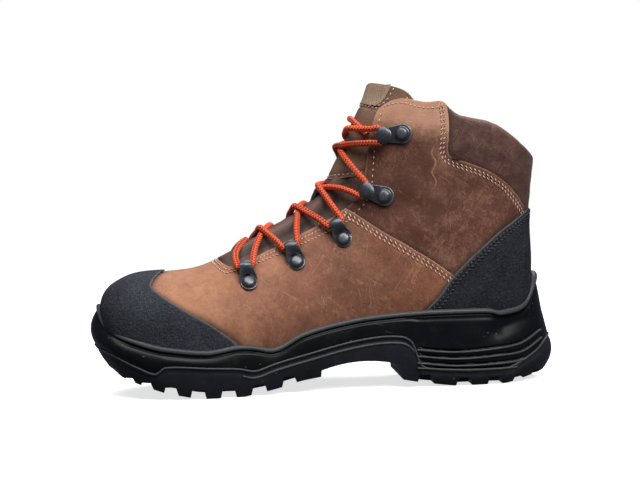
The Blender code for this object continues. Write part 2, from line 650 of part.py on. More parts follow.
def make_fittings(parts, cutters):
    """Three lace loops and two hooks on each side."""
    meshes = {kind: build_fitting(kind, cutters) for kind in ("loop", "hook")}
    for side, face in ((-1, "inner"), (1, "outer")):
        for number, point in enumerate(LACE_POINTS, start=1):
            name = f"lace_{point.kind}_{face}_{number}"
            fitting = new_object(name, meshes[point.kind], parts)
            frame = lace_frame(point, side)
            frame.translation *= MM
            fitting.matrix_world = frame


def strand_route(start, end, start_side):
    """A strand from one side's lacing place to the other side's, over the tongue."""
    route = []
    for share in spaced(0.0, 1.0, LACE_POINTS_PER_STRAND):
        place = start.section + (end.section - start.section) * share
        girth = (1 - start.turn) * (1 - share) - (1 - end.turn) * share
        side = start_side if girth > 0 else -start_side
        turn = 1 - abs(girth)
        flank = max(abs(girth) / (1 - start.turn) - 0.35, 0.0) / 0.65
        height = LACE_RADIUS + LACE_CLEARANCE + (TUNNEL_RADIUS - LACE_RADIUS) * flank
        route.append(form_offset(place, turn, side, height))
    return route


def strand_mesh(name, route, collection):
    """A round cord along the route, as a closed mesh object."""
    curve = bpy.data.curves.new(name, "CURVE")
    curve.dimensions = "3D"
    curve.bevel_depth = LACE_RADIUS * MM
    curve.bevel_resolution = 1
    curve.use_fill_caps = True
    spline = curve.splines.new("POLY")
    spline.points.add(len(route) - 1)
    for spot, point in zip(spline.points, route):
        spot.co = (*(point * MM), 1)
    cord = new_object(name + "_cord", curve, collection)
    graph = bpy.context.evaluated_depsgraph_get()
    mesh = bpy.data.meshes.new_from_object(cord.evaluated_get(graph))
    bpy.data.objects.remove(cord)
    bm = bmesh.new()
    bm.from_mesh(mesh)
    bmesh.ops.remove_doubles(bm, verts=bm.verts, dist=0.002 * MM)
    bmesh.ops.recalc_face_normals(bm, faces=bm.faces)
    bm.to_mesh(mesh)
    bm.free()
    mesh.shade_smooth()
    return mesh


def make_laces(parts, cutters):
    """A bar between the lowest loops, then a joined crossing between each pair of lacing points."""
    # strands leave a loop at its upper mouth and reach the next at its lower mouth
    inset, lower, upper = 0.17, 0.24, 0.22
    mouths = []
    for point in LACE_POINTS:
        turn = point.turn + inset
        mouths.append((point._replace(section=point.section - lower, turn=turn),
                       point._replace(section=point.section + upper, turn=turn)))
    top = LACE_POINTS[-1]
    last_end = top._replace(section=top.section + FINAL_CROSS_RISE, turn=top.turn + inset)
    bar = strand_mesh("lace_bar", strand_route(mouths[0][0], mouths[0][0], -1), cutters)
    new_object("lace_bar", bar, parts, "lace")
    pairs = [(mouths[i][1], mouths[i + 1][0]) for i in range(len(mouths) - 1)]
    pairs.append((mouths[-1][1], last_end))
    for number, (start, end) in enumerate(pairs, start=1):
        name = f"lace_crossing_{number}"
        crossing = new_object(name, strand_mesh(name, strand_route(start, end, -1), cutters), parts, "lace")
        other = strand_mesh(name + "_under", strand_route(start, end, 1), cutters)
        add_boolean(crossing, "UNION", new_object(name + "_under", other, cutters))


def make_materials():
    """Plain colours of the pieces."""
    for name, (colour, roughness, metallic) in COLOURS.items():
        material = bpy.data.materials.new(name)
        material.use_nodes = True
        shader = material.node_tree.nodes["Principled BSDF"]
        shader.inputs["Base Color"].default_value = (*colour, 1)
        shader.inputs["Roughness"].default_value = roughness
        shader.inputs["Metallic"].default_value = metallic


def main():
    """Builds the boot."""
    for obj in list(bpy.data.objects):
        bpy.data.objects.remove(obj)
    parts = bpy.data.collections.new("hunting_boot")
    cutters = bpy.data.collections.new("cutters")
    for collection in (parts, cutters):
        bpy.context.scene.collection.children.link(collection)
    make_materials()
    plug = new_object("sole_plug", stack_loops("sole_plug", midsole_loops(GAP)), cutters)
    make_upper(parts)
    make_overlay("toe_cap", ring_places(0.5, 6.0), TOE_CAP_EDGE, -175, parts, cutters, plug)
    make_overlay("heel_counter", ring_places(8.0, 15.0), COUNTER_EDGE, 175, parts, cutters, plug)
    make_midsole(parts, cutters)
    make_outsole(parts, cutters)
    make_insole(parts, cutters)
    make_tongue(parts)
    make_fittings(parts, cutters)
    make_laces(parts, cutters)
    for cutter in cutters.objects:
        cutter.hide_render = True
        cutter.display_type = "WIRE"


if __name__ == "__main__":
    main()
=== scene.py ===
"""A hunting boot for the right foot: the visual model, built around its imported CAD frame.

Lengths in this file are millimetres; meshes are turned into metres when they are made.
The boot's toe points to -X, its inner side faces -Y and +Z is up.
"""

import logging
import math
from collections.abc import Callable, Iterator, Sequence
from contextlib import contextmanager
from dataclasses import dataclass
from enum import Enum

import bmesh
import bpy
import numpy as np
from mathutils import Matrix, Vector, kdtree


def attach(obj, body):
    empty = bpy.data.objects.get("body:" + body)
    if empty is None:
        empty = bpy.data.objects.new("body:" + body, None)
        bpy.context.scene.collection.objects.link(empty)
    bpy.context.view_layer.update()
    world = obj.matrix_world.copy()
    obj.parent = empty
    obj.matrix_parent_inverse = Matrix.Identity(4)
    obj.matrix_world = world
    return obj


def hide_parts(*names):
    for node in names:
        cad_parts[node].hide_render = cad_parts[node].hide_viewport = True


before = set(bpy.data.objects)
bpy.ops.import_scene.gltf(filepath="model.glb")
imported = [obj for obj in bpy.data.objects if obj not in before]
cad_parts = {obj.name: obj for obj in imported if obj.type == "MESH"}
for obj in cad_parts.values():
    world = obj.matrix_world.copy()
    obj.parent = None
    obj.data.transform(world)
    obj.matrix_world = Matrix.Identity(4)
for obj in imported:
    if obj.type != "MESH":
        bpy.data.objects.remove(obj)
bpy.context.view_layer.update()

LOG = logging.getLogger("hunting_boot")
MM = 0.001
Array = np.ndarray
Fields = dict[str, Array]
Pair = tuple[float, float]
Triple = Rgb = tuple[float, float, float]
Line = Sequence[Pair]
Station = tuple[Callable, Callable]
Node = bpy.types.Node
Socket = bpy.types.NodeSocket
Piece = bpy.types.Object
Material = bpy.types.Material
Mesh = bpy.types.Mesh
SIDES = (-1, 1)


class Thread(Enum):
    """What is set in rows: sewing threads, needle holes drawn as dark dots of painted shade, and the knurls of the
    sole.
    """

    TAN = "tan"
    BLACK = "black"
    HOLE = "hole"
    KNURL = "knurl"


class FittingKind(Enum):
    """Lace fittings: a closed loop or an open hook."""

    LOOP = "loop"
    HOOK = "hook"


# Sections of the form: ridge x and z, base x and z, centre, inner and outer half width, widest share,
# base and ridge power, half throat, bow
SECTIONS = np.array((
    (-145, 52, -145, 52, -9, 0, 0, .44, 2.1, 2.1, 0, 0),
    (-142.5, 65, -140, 37, -9, 23, 20, .42, 2.4, 2.2, 0, 0),
    (-136, 73, -131, 28.5, -8.5, 33.5, 29.5, .40, 3, 2.3, 0, 0),
    (-124, 78.3, -116, 22.5, -7, 42, 39.5, .38, 4, 2.4, 0, 0),
    (-104, 79.6, -98, 18, -5, 47.5, 48, .37, 4.5, 2.4, 25.5, 0),
    (-83, 82.2, -76, 16.8, -3, 48.8, 51.5, .36, 4.5, 2.2, 25.5, 0),
    (-64, 89.4, -50, 17.5, -1.5, 47, 51, .34, 4.5, 2.0, 25.6, 0),
    (-46, 99.8, -18, 21, 0, 42, 46.5, .32, 4.2, 1.8, 22.5, 0),
    (-22, 113.5, 22, 27, 0, 36.5, 41.5, .34, 4, 1.7, 19.4, 0),
    (-3, 126.5, 62, 31, 0, 35, 38, .38, 3.6, 1.72, 19.8, 0),
    (7.5, 139, 102, 33, 0, 35, 36.5, .42, 3.2, 1.85, 22, 0),
    (12.5, 149, 130, 36.5, 0, 36.5, 37, .45, 2.8, 2.0, 23.5, 0),
    (16, 157.5, 139.2, 51, 0, 37.5, 38, .47, 2.6, 2.1, 24, 0),
    (19.5, 166, 140.3, 76, 0, 38.5, 39, .48, 2.5, 2.2, 24.5, .5),
    (23.5, 175, 140, 102, 0, 39.5, 40, .49, 2.4, 2.3, 25, 3),
    (28, 184, 141.6, 128, 0, 40.5, 41, .50, 2.4, 2.4, 25.5, 8),
    (31.5, 190.5, 144, 149, 0, 40.5, 41, .50, 2.4, 2.4, 26, 14.5),
    (35.5, 201.5, 147, 171, 0, 40.5, 41, .50, 2.4, 2.4, 26, 14.5),
), float)
BASE_X, BASE_Z, CENTRE, INNER, OUTER, WIDEST, BASE_POWER, RIDGE_POWER, THROAT, BOW = range(2, 12)
# How the bow rises from base to ridge: shares of the way and of the bow
LIFT = np.array((
    (0, 0), (.09, .30), (.16, .55), (.24, .70), (.34, .76), (.44, .80), (.52, .92), (.60, .98),
    (.70, .84), (.80, .58), (.90, .20), (1, 0),
), float)
# Rows of the sole: x, centre, inner and outer half width, heights of tread, parting, plate and rim,
# insets of tread, side, parting, middle and rim
SOLE = np.array((
    (-154.5, -11, 0, 0, 20.5, 34, 28, 60.5, 10.5, 6, 3, 0, 4.8),
    (-148, -11, 21.5, 20.5, 18.5, 31.5, 25, 49.5, 9.5, 5.5, 2.5, 0, 3.8),
    (-138, -10, 34, 32.5, 14, 27.7, 19, 43.5, 7.5, 4, 2, 0, 3.3),
    (-122, -8, 45.5, 44.5, 9, 20.5, 13, 38, 6, 3, 1.5, 0, 3.2),
    (-112, -6.8, 49.6, 50, 6, 17, 11, 35.3, 5, 2.2, 1.1, .15, 3.2),
    (-105.5, -5.8, 51.7, 53, 4.3, 21, 10, 34, 4.3, 1.7, .9, .25, 3.1),
    (-78, -3, 55, 60, -.6, 19.6, 8, 31, 3, 1, .5, .6, 2.2),
    (-58, -1.5, 54, 60, -.4, 18.2, 8.6, 33.6, 3, 1, .5, .7, 1.8),
    (-48, -.9, 52.5, 58.9, 1.2, 16.3, 9.8, 32.9, 3, 1, .5, .7, 1.6),
    (-34, -.3, 50, 56.2, 3.7, 20.3, 12, 30.8, 3, 1, .5, .7, 1.5),
    (-14, 0, 46.5, 52, 8.4, 25, 16, 40, 3, 1, .5, .7, 1.4),
    (18, 0, 42.3, 47, 11, 32, 22, 47, 3, 1, .5, .7, 1.4),
    (44, 0, 40.8, 43.5, 6.2, 34, 22.5, 49.5, 3, 1, .5, .7, 1.4),
    (55.5, 0, 40.8, 42.7, 4, 29.5, 18, 50, 3, .9, .4, .7, 1.4),
    (60.5, 0, 40.8, 42.5, 3.1, 15, 14.2, 50.2, 3, .8, .3, .8, 1.5),
    (66, 0, 40.9, 42.4, 2.2, 12, 11.5, 50.4, 3, .7, .2, .8, 1.6),
    (90, 0, 41.3, 42, -.6, 9.5, 9.5, 50.4, 3, .5, 0, 1.2, 2.4),
    (108, 0, 40.6, 41, -.4, 9.4, 9.4, 49.8, 3.6, .5, .2, 2, 4.3),
    (117, 0, 39.3, 39.6, -.2, 9.8, 9.6, 48, 4, .5, .3, 2.6, 5),
    (138, 0, 30, 30, 3.6, 19, 14, 53, 5, .3, 1, 4.5, 7.8),
    (150, 0, 17, 17, 5.4, 27, 18, 66, 5.5, 0, 2, 5.5, 8.8),
    (154.5, 0, 0, 0, 5.8, 29, 20, 71.5, 5.5, 0, 2, 6, 9),
), float)


def smooth_through(keys: Array, rows: Array, at: Array | float, end_slope: Array | float = 1.0) -> Array:
    """A cubic through rows of a table, with each row's slope taken from its two neighbours.

    Args:
        keys: the rows' keys, rising.
        rows: one number or one list of numbers for each key.
        at: the keys to read at.
        end_slope: scales the slope at the first and last row.

    Returns:
        The values, with the shape of at and of a row.
    """
    keys, rows, at = (np.asarray(a, float) for a in (keys, rows, at))
    last = len(keys) - 1
    low = np.clip(np.searchsorted(keys, at, side="right") - 1, 0, last - 1)
    index = np.arange(last + 1)
    before, after = np.maximum(index - 1, 0), np.minimum(index + 1, last)
    deep = (...,) + (None,) * (rows.ndim - 1)
    slopes = (rows[after] - rows[before]) / (keys[after] - keys[before])[deep]
    slopes[[0, -1]] *= end_slope
    span = (keys[low + 1] - keys[low])[deep]
    t = (at - keys[low])[deep] / span
    rise = rows[low + 1] - rows[low]
    first, second = slopes[low] * span, slopes[low + 1] * span
    bend = first + second - 2 * rise
    return rows[low] + t * (first + t * (rise - first - bend + t * bend))


def soft_step(low: float, high: float, at: Array) -> Array:
    """A smooth step from 0 at low to 1 at high."""
    t = np.clip((np.asarray(at, float) - low) / (high - low), 0, 1)
    return t * t * (3 - 2 * t)


def bump(away: Array, width: Array | float) -> Array:
    """A smooth bump: 1 where away is nought, and falling off over the width."""
    return np.exp(-(away / width) ** 2)


def unit(vectors: Array) -> Array:
    """The vectors at length one."""
    return vectors / np.maximum(np.linalg.norm(vectors, axis=-1, keepdims=True), 1e-12)


def lengths_along(points: Array) -> Array:
    """The length run at each of a line's points."""
    return np.concatenate([[0], np.cumsum(np.linalg.norm(np.diff(points, axis=0), axis=1))])


def read_along(points: Array, count: int) -> Array:
    """That many evenly spaced points along a line of straight pieces."""
    run = lengths_along(points)
    at = np.linspace(0, run[-1], count)
    return np.stack([np.interp(at, run, column) for column in points.T], axis=1)


def rounded_line(points: Line | Array, count: int) -> Array:
    """That many evenly spaced points on a smooth curve through a few points."""
    knots = np.array(points, float)
    keys = lengths_along(knots)
    return read_along(smooth_through(keys, knots, np.linspace(0, keys[-1], 40 * len(knots))), count)


@dataclass(frozen=True)
class BootForm:
    """The boot's form: a fan of sections, read by place along it, turn round it and side."""

    throat_start: float = 5.72
    throat_run: float = 0.45
    place_length: float = 19.0

    def rows(self, place: Array) -> Array:
        """The section's numbers at each place."""
        return smooth_through(np.arange(len(SECTIONS)), SECTIONS, np.clip(place, 0, len(SECTIONS) - 1))

    def spread(self, place: Array, height: Array) -> Array:
        """Side-view points at a share of the way from base to ridge.

        Args:
            place: places along the form.
            height: shares, 0 at the base and 1 at the ridge.

        Returns:
            x and z of each point.
        """
        row = self.rows(place)
        base, axis = row[..., 2:4], row[..., 0:2] - row[..., 2:4]
        arch = unit(np.stack([axis[..., 1], -axis[..., 0]], axis=-1))
        lift = row[..., BOW] * smooth_through(LIFT[:, 0], LIFT[:, 1], height)
        return base + axis * np.asarray(height)[..., None] + arch * lift[..., None]

    def point(self, place: Array, turn: Array, side: Array | int) -> Array:
        """Points of the form: turn is -1 at the base, 0 where widest and 1 at the ridge.

        Args:
            place: places along the form.
            turn: turns round it.
            side: -1 for the inner side, 1 for the outer.

        Returns:
            The points.
        """
        place, turn, side = np.broadcast_arrays(*(np.asarray(a, float) for a in (place, turn, side)))
        row = self.rows(place)
        power = np.where(turn < 0, row[..., BASE_POWER], row[..., RIDGE_POWER])
        half = np.where(side < 0, row[..., INNER], row[..., OUTER])
        across = half * np.maximum(np.cos(turn * math.pi / 2), 0) ** (2 / power)
        reach = np.abs(np.sin(turn * math.pi / 2)) ** (2 / power)
        widest = row[..., WIDEST]
        height = np.where(turn < 0, widest * (1 - reach), widest + (1 - widest) * reach)
        flat = self.spread(place, height)
        return np.stack([flat[..., 0], row[..., CENTRE] + side * across, flat[..., 1]], axis=-1)

    def normal(self, place: Array, turn: Array, side: Array | int) -> Array:
        """The form's outward directions at points given as for point()."""
        place, turn, side = np.broadcast_arrays(*(np.asarray(a, float) for a in (place, turn, side)))
        step = 0.02
        along = self.point(place + step, turn, side) - self.point(place - step, turn, side)
        low, high = np.maximum(turn - step, -1), np.minimum(turn + step, 1)
        across = self.point(place, high, side) - self.point(place, low, side)
        flat = np.zeros_like(across)
        flat[..., 1] = np.where(turn < 0, side, -side)
        across = np.where((np.abs(turn) > 1 - step)[..., None], flat, across)
        out = unit(np.cross(along, across) * -side[..., None])
        return np.where((place <= 0)[..., None], np.array((-1.0, 0, 0)), out)

    def offset(self, place: Array, turn: Array, side: Array | int, out: Array | float) -> Array:
        """Points that stand off the form by out."""
        return self.point(place, turn, side) + self.normal(place, turn, side) * np.asarray(out)[..., None]

    def turn_at(self, place: Array, side: int, half_width: Array | float) -> Array:
        """The turn above the widest place where the form is that far from its centre line."""
        row = self.rows(place)
        half = np.maximum(row[..., INNER if side < 0 else OUTER], 1e-6)
        share = np.clip(np.asarray(half_width) / half, 0, 1)
        return np.arccos(share ** (row[..., RIDGE_POWER] / 2)) * 2 / math.pi

    def throat_half(self, place: Array, back: float = 0.0) -> Array:
        """Half width of the lacing gap, with a round lower end, or of a line that far behind its edge."""
        start = self.throat_start - back / self.place_length
        opened = np.clip((np.asarray(place, float) - start) / self.throat_run, 0, 1)
        return (self.rows(place)[..., THROAT] + back) * np.sqrt(opened * (2 - opened))

    def facing_turn(self, place: Array, side: int, back: float = 0.0) -> Array:
        """The turn of the facing's edge, or of a line that far behind it."""
        return self.turn_at(place, side, self.throat_half(place, back))

    def locate(self, line: Line | Array) -> Array:
        """Places and turns of side-view points.

        Args:
            line: x and z of each point.

        Returns:
            One place and turn for each point.
        """
        target = np.array(line, float)
        places, heights = np.meshgrid(np.arange(0, 17.01, 0.1), np.arange(0, 1.001, 0.02), indexing="ij")
        seen = self.spread(places, heights).reshape(-1, 2)
        near = np.argmin(((target[:, None] - seen[None]) ** 2).sum(-1), axis=1)
        place, height = places.ravel()[near], heights.ravel()[near]
        step = 1e-3
        for _ in range(14):
            miss = target - self.spread(place, height)
            d_place = (self.spread(place + step, height) - self.spread(place - step, height)) / (2 * step)
            d_height = (self.spread(place, height + step) - self.spread(place, height - step)) / (2 * step)
            det = d_place[:, 0] * d_height[:, 1] - d_place[:, 1] * d_height[:, 0]
            det = np.where(np.abs(det) < 1e-6, 1e-6, det)
            a = (miss[:, 0] * d_height[:, 1] - miss[:, 1] * d_height[:, 0]) / det
            b = (d_place[:, 0] * miss[:, 1] - d_place[:, 1] * miss[:, 0]) / det
            place = np.clip(place + np.clip(a, -.5, .5), 0, 17)
            height = np.clip(height + np.clip(b, -.2, .2), 0, 1)
        row = self.rows(place)
        widest = row[:, WIDEST]
        below = height < widest
        reach = np.where(below, 1 - height / widest, (height - widest) / (1 - widest))
        power = np.where(below, row[:, BASE_POWER], row[:, RIDGE_POWER])
        turn = np.arcsin(np.clip(reach, 0, 1) ** (power / 2)) * 2 / math.pi
        return np.stack([place, np.where(below, -turn, turn)], axis=1)


FORM = BootForm()


@dataclass
class FormLine:
    """A line on the form, in places and turns, read by its share of length on one side."""

    knots: Array
    side: int

    def __post_init__(self) -> None:
        """Measures the line."""
        self.knots = np.asarray(self.knots, float)
        steps = np.linspace(0, 1, 9)[:-1, None, None]
        fine = self.knots[None, :-1] * (1 - steps) + self.knots[None, 1:] * steps
        self.knots = np.concatenate([fine.transpose(1, 0, 2).reshape(-1, 2), self.knots[-1:]])
        self.run = lengths_along(FORM.point(self.knots[:, 0], self.knots[:, 1], self.side))

    def at(self, share: Array) -> Array:
        """Places and turns at shares of the length."""
        reach = np.asarray(share, float) * self.run[-1]
        return np.stack([np.interp(reach, self.run, self.knots[:, k]) for k in (0, 1)], axis=-1)


def coons(bottom: FormLine, top: FormLine, left: FormLine, right: FormLine, u: Array, v: Array) -> Array:
    """Places and turns inside four lines that meet at their ends.

    Args:
        bottom: from the lower left to the lower right corner.
        top: from the upper left to the upper right corner.
        left: from the lower left to the upper left corner.
        right: from the lower right to the upper right corner.
        u: shares from left to right.
        v: shares from bottom to top.

    Returns:
        Places and turns, with one row for each u and one column for each v.
    """
    u, v = np.meshgrid(u, v, indexing="ij")
    a, b = u[..., None], v[..., None]
    ends = [line.at(np.array((0.0, 1.0))) for line in (bottom, top)]
    corners = (1 - a) * (1 - b) * ends[0][0] + a * (1 - b) * ends[0][1] + (1 - a) * b * ends[1][0] + a * b * ends[1][1]
    return (1 - b) * bottom.at(u) + b * top.at(u) + (1 - a) * left.at(v) + a * right.at(v) - corners


def store(mesh: Mesh, name: str, values: Array) -> None:
    """Stores a number or a direction for each point of a mesh."""
    values = np.asarray(values, np.float32)
    kind, key = ("FLOAT_VECTOR", "vector") if values.ndim > 1 else ("FLOAT", "value")
    mesh.attributes.new(name, kind, "POINT").data.foreach_set(key, values.ravel())


@contextmanager
def editing(mesh: Mesh) -> Iterator[bmesh.types.BMesh]:
    """Opens a mesh for edits, which are written back at the end."""
    work = bmesh.new()
    work.from_mesh(mesh)
    yield work
    work.to_mesh(mesh)
    work.free()


def merge_points(mesh: Mesh, near: float, thin: float) -> None:
    """Merges points nearer than near and removes faces thinner than thin, in millimetres."""
    with editing(mesh) as work:
        bmesh.ops.remove_doubles(work, verts=work.verts, dist=near * MM)
        bmesh.ops.dissolve_degenerate(work, edges=work.edges, dist=thin * MM)


def line_mesh(name: str, lines: Sequence[Array]) -> Mesh:
    """A mesh of open lines, in metres; a line of one point is a loose point.

    Args:
        name: the mesh's name.
        lines: points of each line, in millimetres.

    Returns:
        The mesh.
    """
    ends = np.cumsum([len(line) for line in lines])
    edges = [(i, i + 1) for line, end in zip(lines, ends) for i in range(end - len(line), end - 1)]
    mesh = bpy.data.meshes.new(name)
    mesh.from_pydata((np.concatenate(lines) * MM).tolist(), edges, [])
    return mesh


def new_object(name: str, data: bpy.types.ID) -> Piece:
    """A new object in the scene."""
    made = bpy.data.objects.new(name, data)
    bpy.context.scene.collection.objects.link(made)
    return made


def new_piece(name: str, mesh: Mesh, *materials: Material) -> Piece:
    """An object for the mesh, with its materials."""
    mesh.materials.clear()
    for material in materials:
        mesh.materials.append(material)
    return new_object(name, mesh)


class Shell:
    """Collects grids of points and joins them into one piece."""

    def __init__(self) -> None:
        """Starts empty."""
        self.points: list[Array] = []
        self.faces: list[Array] = []
        self.fields: list[Fields] = []

    def add_grid(self, grid: Array, fields: Fields | None, outward: Array, round_u: bool = False) -> None:
        """Adds a sheet of quads.

        Args:
            grid: rows and columns of points.
            fields: numbers for each point, by attribute name.
            outward: one direction for each point, which the faces are turned to.
            round_u: whether the last row joins the first.
        """
        rows, columns = grid.shape[:2]
        index = np.arange(rows * columns).reshape(rows, columns)
        if round_u:
            index = np.concatenate([index, index[:1]], axis=0)
        quads = np.stack([index[:-1, :-1], index[1:, :-1], index[1:, 1:], index[:-1, 1:]], axis=-1).reshape(-1, 4)
        flat = grid.reshape(-1, 3)
        corners = flat[quads]
        facing = np.cross(corners[:, 2] - corners[:, 0], corners[:, 3] - corners[:, 1])
        if (facing * outward.reshape(-1, 3)[quads[:, 0]]).sum() < 0:
            quads = quads[:, ::-1]
        self.faces.append(quads + sum(map(len, self.points)))
        self.points.append(flat)
        self.fields.append({name: np.broadcast_to(value, (rows, columns)).ravel()
                            for name, value in (fields or {}).items()})

    def add_sheet(self, place: Array, turn: Array, side: int, out: Array | float,
                  fields: Fields | None = None) -> None:
        """Adds a sheet that stands off the form; the arguments are those of BootForm.offset and add_grid."""
        self.add_grid(FORM.offset(place, turn, side, out), fields, FORM.normal(place, turn, side))

    def piece(self, name: str, weld: float, *materials: Material) -> Piece:
        """Joins the grids.

        Args:
            name: the piece's name.
            weld: points nearer than this are merged, in millimetres.
            materials: the piece's materials.

        Returns:
            The piece, shaded smooth.
        """
        mesh = bpy.data.meshes.new(name)
        mesh.from_pydata((np.concatenate(self.points) * MM).tolist(), [], np.concatenate(self.faces).tolist())
        for key in sorted({key for fields in self.fields for key in fields}):
            store(mesh, key, np.concatenate([fields.get(key, np.zeros(len(points)))
                                             for fields, points in zip(self.fields, self.points)]))
        merge_points(mesh, near=weld, thin=weld * 0.2)
        mesh.shade_smooth()
        return new_piece(name, mesh, *materials)


def add_modifier(piece: Piece, kind: str, **settings: object) -> None:
    """Adds a modifier with its settings."""
    modifier = piece.modifiers.new(kind.lower(), kind)
    for key, value in settings.items():
        setattr(modifier, key, value)


def apply_modifiers(piece: Piece) -> None:
    """Turns a piece and its modifiers into a plain mesh."""
    graph = bpy.context.evaluated_depsgraph_get()
    mesh = bpy.data.meshes.new_from_object(piece.evaluated_get(graph), preserve_all_data_layers=True, depsgraph=graph)
    mesh.name = piece.name
    piece.modifiers.clear()
    piece.data = mesh


def round_corners(piece: Piece, width: float, segments: int, angle: float, sharp: float) -> None:
    """Applies a piece's modifiers, with rounded corners as the last.

    Args:
        piece: the piece.
        width: width of the rounding, in millimetres.
        segments: its steps.
        angle: degrees from which an edge is rounded.
        sharp: degrees from which an edge is shaded sharp afterwards.
    """
    add_modifier(piece, "BEVEL", width=width * MM, segments=segments, limit_method="ANGLE",
                 angle_limit=math.radians(angle), use_clamp_overlap=True)
    apply_modifiers(piece)
    piece.data.shade_smooth()
    piece.data.set_sharp_from_angle(angle=math.radians(sharp))


def give_edge(piece: Piece, thickness: float, bevel: float, rim_only: bool = True,
              segments: int = 2) -> None:
    """Gives a sheet its cut edge: a wall below its border, with a rounded corner.

    Args:
        piece: the sheet; where only the rim is made, its second material is the wall's.
        thickness: how far the wall goes in, in millimetres.
        bevel: width of the rounded corner, in millimetres.
        rim_only: leaves out the inner face.
        segments: steps of the rounded corner.
    """
    add_modifier(piece, "SOLIDIFY", thickness=thickness * MM, offset=-1, use_even_offset=True, thickness_clamp=1.0,
                 use_rim_only=rim_only, material_offset_rim=int(rim_only))
    round_corners(piece, bevel, segments, angle=55, sharp=60)


def distance_to(points: Array, line: Array) -> Array:
    """The distance from each point of a grid to the nearest of a line's points."""
    tree = kdtree.KDTree(len(line))
    for i, spot in enumerate(line):
        tree.insert(spot, i)
    tree.balance()
    return np.array([tree.find(spot)[2] for spot in points.reshape(-1, 3)]).reshape(points.shape[:-1])


def hand_over(piece: Piece, slot: str, *nodes: str) -> None:
    """Puts a finished piece on the CAD body, in place of its nodes, and reports it.

    Args:
        piece: the finished piece.
        slot: not used.
        nodes: CAD nodes that the piece stands for.
    """
    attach(piece, "root")
    if nodes:
        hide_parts(*nodes)
    piece.data.calc_loop_triangles()
    LOG.info("%s: %d triangles", piece.name, len(piece.data.loop_triangles))


class Value:
    """A number in a shader tree; arithmetic on it adds Math nodes."""

    def __init__(self, graph: "Graph", socket: Socket) -> None:
        """Wraps an output socket."""
        self.graph, self.socket = graph, socket

    def _math(self, operation: str, *values: "Value | float") -> "Value":
        """The output of a new Math node."""
        return Value(self.graph, self.graph.out("ShaderNodeMath", {"operation": operation}, dict(enumerate(values))))

    def __add__(self, other: "Value | float") -> "Value":
        """The sum."""
        return self._math("ADD", self, other)

    __radd__ = __add__

    def __sub__(self, other: "Value | float") -> "Value":
        """The difference."""
        return self._math("SUBTRACT", self, other)

    def __rsub__(self, other: float) -> "Value":
        """The difference from a number."""
        return self._math("SUBTRACT", other, self)

    def __mul__(self, other: "Value | float") -> "Value":
        """The product."""
        return self._math("MULTIPLY", self, other)

    __rmul__ = __mul__

    def __abs__(self) -> "Value":
        """The absolute value."""
        return self._math("ABSOLUTE", self)

    def sine(self) -> "Value":
        """The sine, in radians."""
        return self._math("SINE", self)

    def most(self, other: "Value | float") -> "Value":
        """The greater of two."""
        return self._math("MAXIMUM", self, other)

    def least(self, other: "Value | float") -> "Value":
        """The smaller of two."""
        return self._math("MINIMUM", self, other)

    def step(self, low: float, high: float) -> "Value":
        """A smooth step from 0 at low to 1 at high; low may be the greater."""
        return Value(self.graph, self.graph.out(
            "ShaderNodeMapRange", {"interpolation_type": "SMOOTHSTEP"},
            {0: self, 1: min(low, high), 2: max(low, high), 3: float(low > high), 4: float(low <= high)},
        ))


class NodeBuilder:
    """Adds nodes to a tree and sets them up."""

    tree: bpy.types.NodeTree

    def set_sockets(self, node: Node, sockets: dict) -> None:
        """Sets a node's inputs by name, identifier or index, to values or links."""
        for key, value in sockets.items():
            if isinstance(key, int):
                target = node.inputs[key]
            else:
                found = [s for s in node.inputs if s.identifier == key] or [s for s in node.inputs if s.name == key]
                target = found[0]
            value = value.socket if isinstance(value, Value) else value
            if isinstance(value, Socket):
                self.tree.links.new(value, target)
            elif isinstance(value, tuple) and target.type == "RGBA":
                target.default_value = (*value, 1.0)
            else:
                target.default_value = value

    def node(self, kind: str, settings: dict | None = None, sockets: dict | None = None) -> Node:
        """A new node.

        Args:
            kind: the node's type.
            settings: the node's own settings, set first.
            sockets: values or links of its inputs.

        Returns:
            The node.
        """
        node = self.tree.nodes.new(kind)
        for key, value in (settings or {}).items():
            setattr(node, key, value)
        self.set_sockets(node, sockets or {})
        return node

    def out(self, kind: str, settings: dict | None = None, sockets: dict | None = None,
            output: int | str = 0) -> Socket:
        """One output of a new node; the other arguments are those of node()."""
        return self.node(kind, settings, sockets).outputs[output]


def scaled(colour: Rgb, by: float) -> Rgb:
    """A colour made darker or brighter."""
    return tuple(c * by for c in colour)


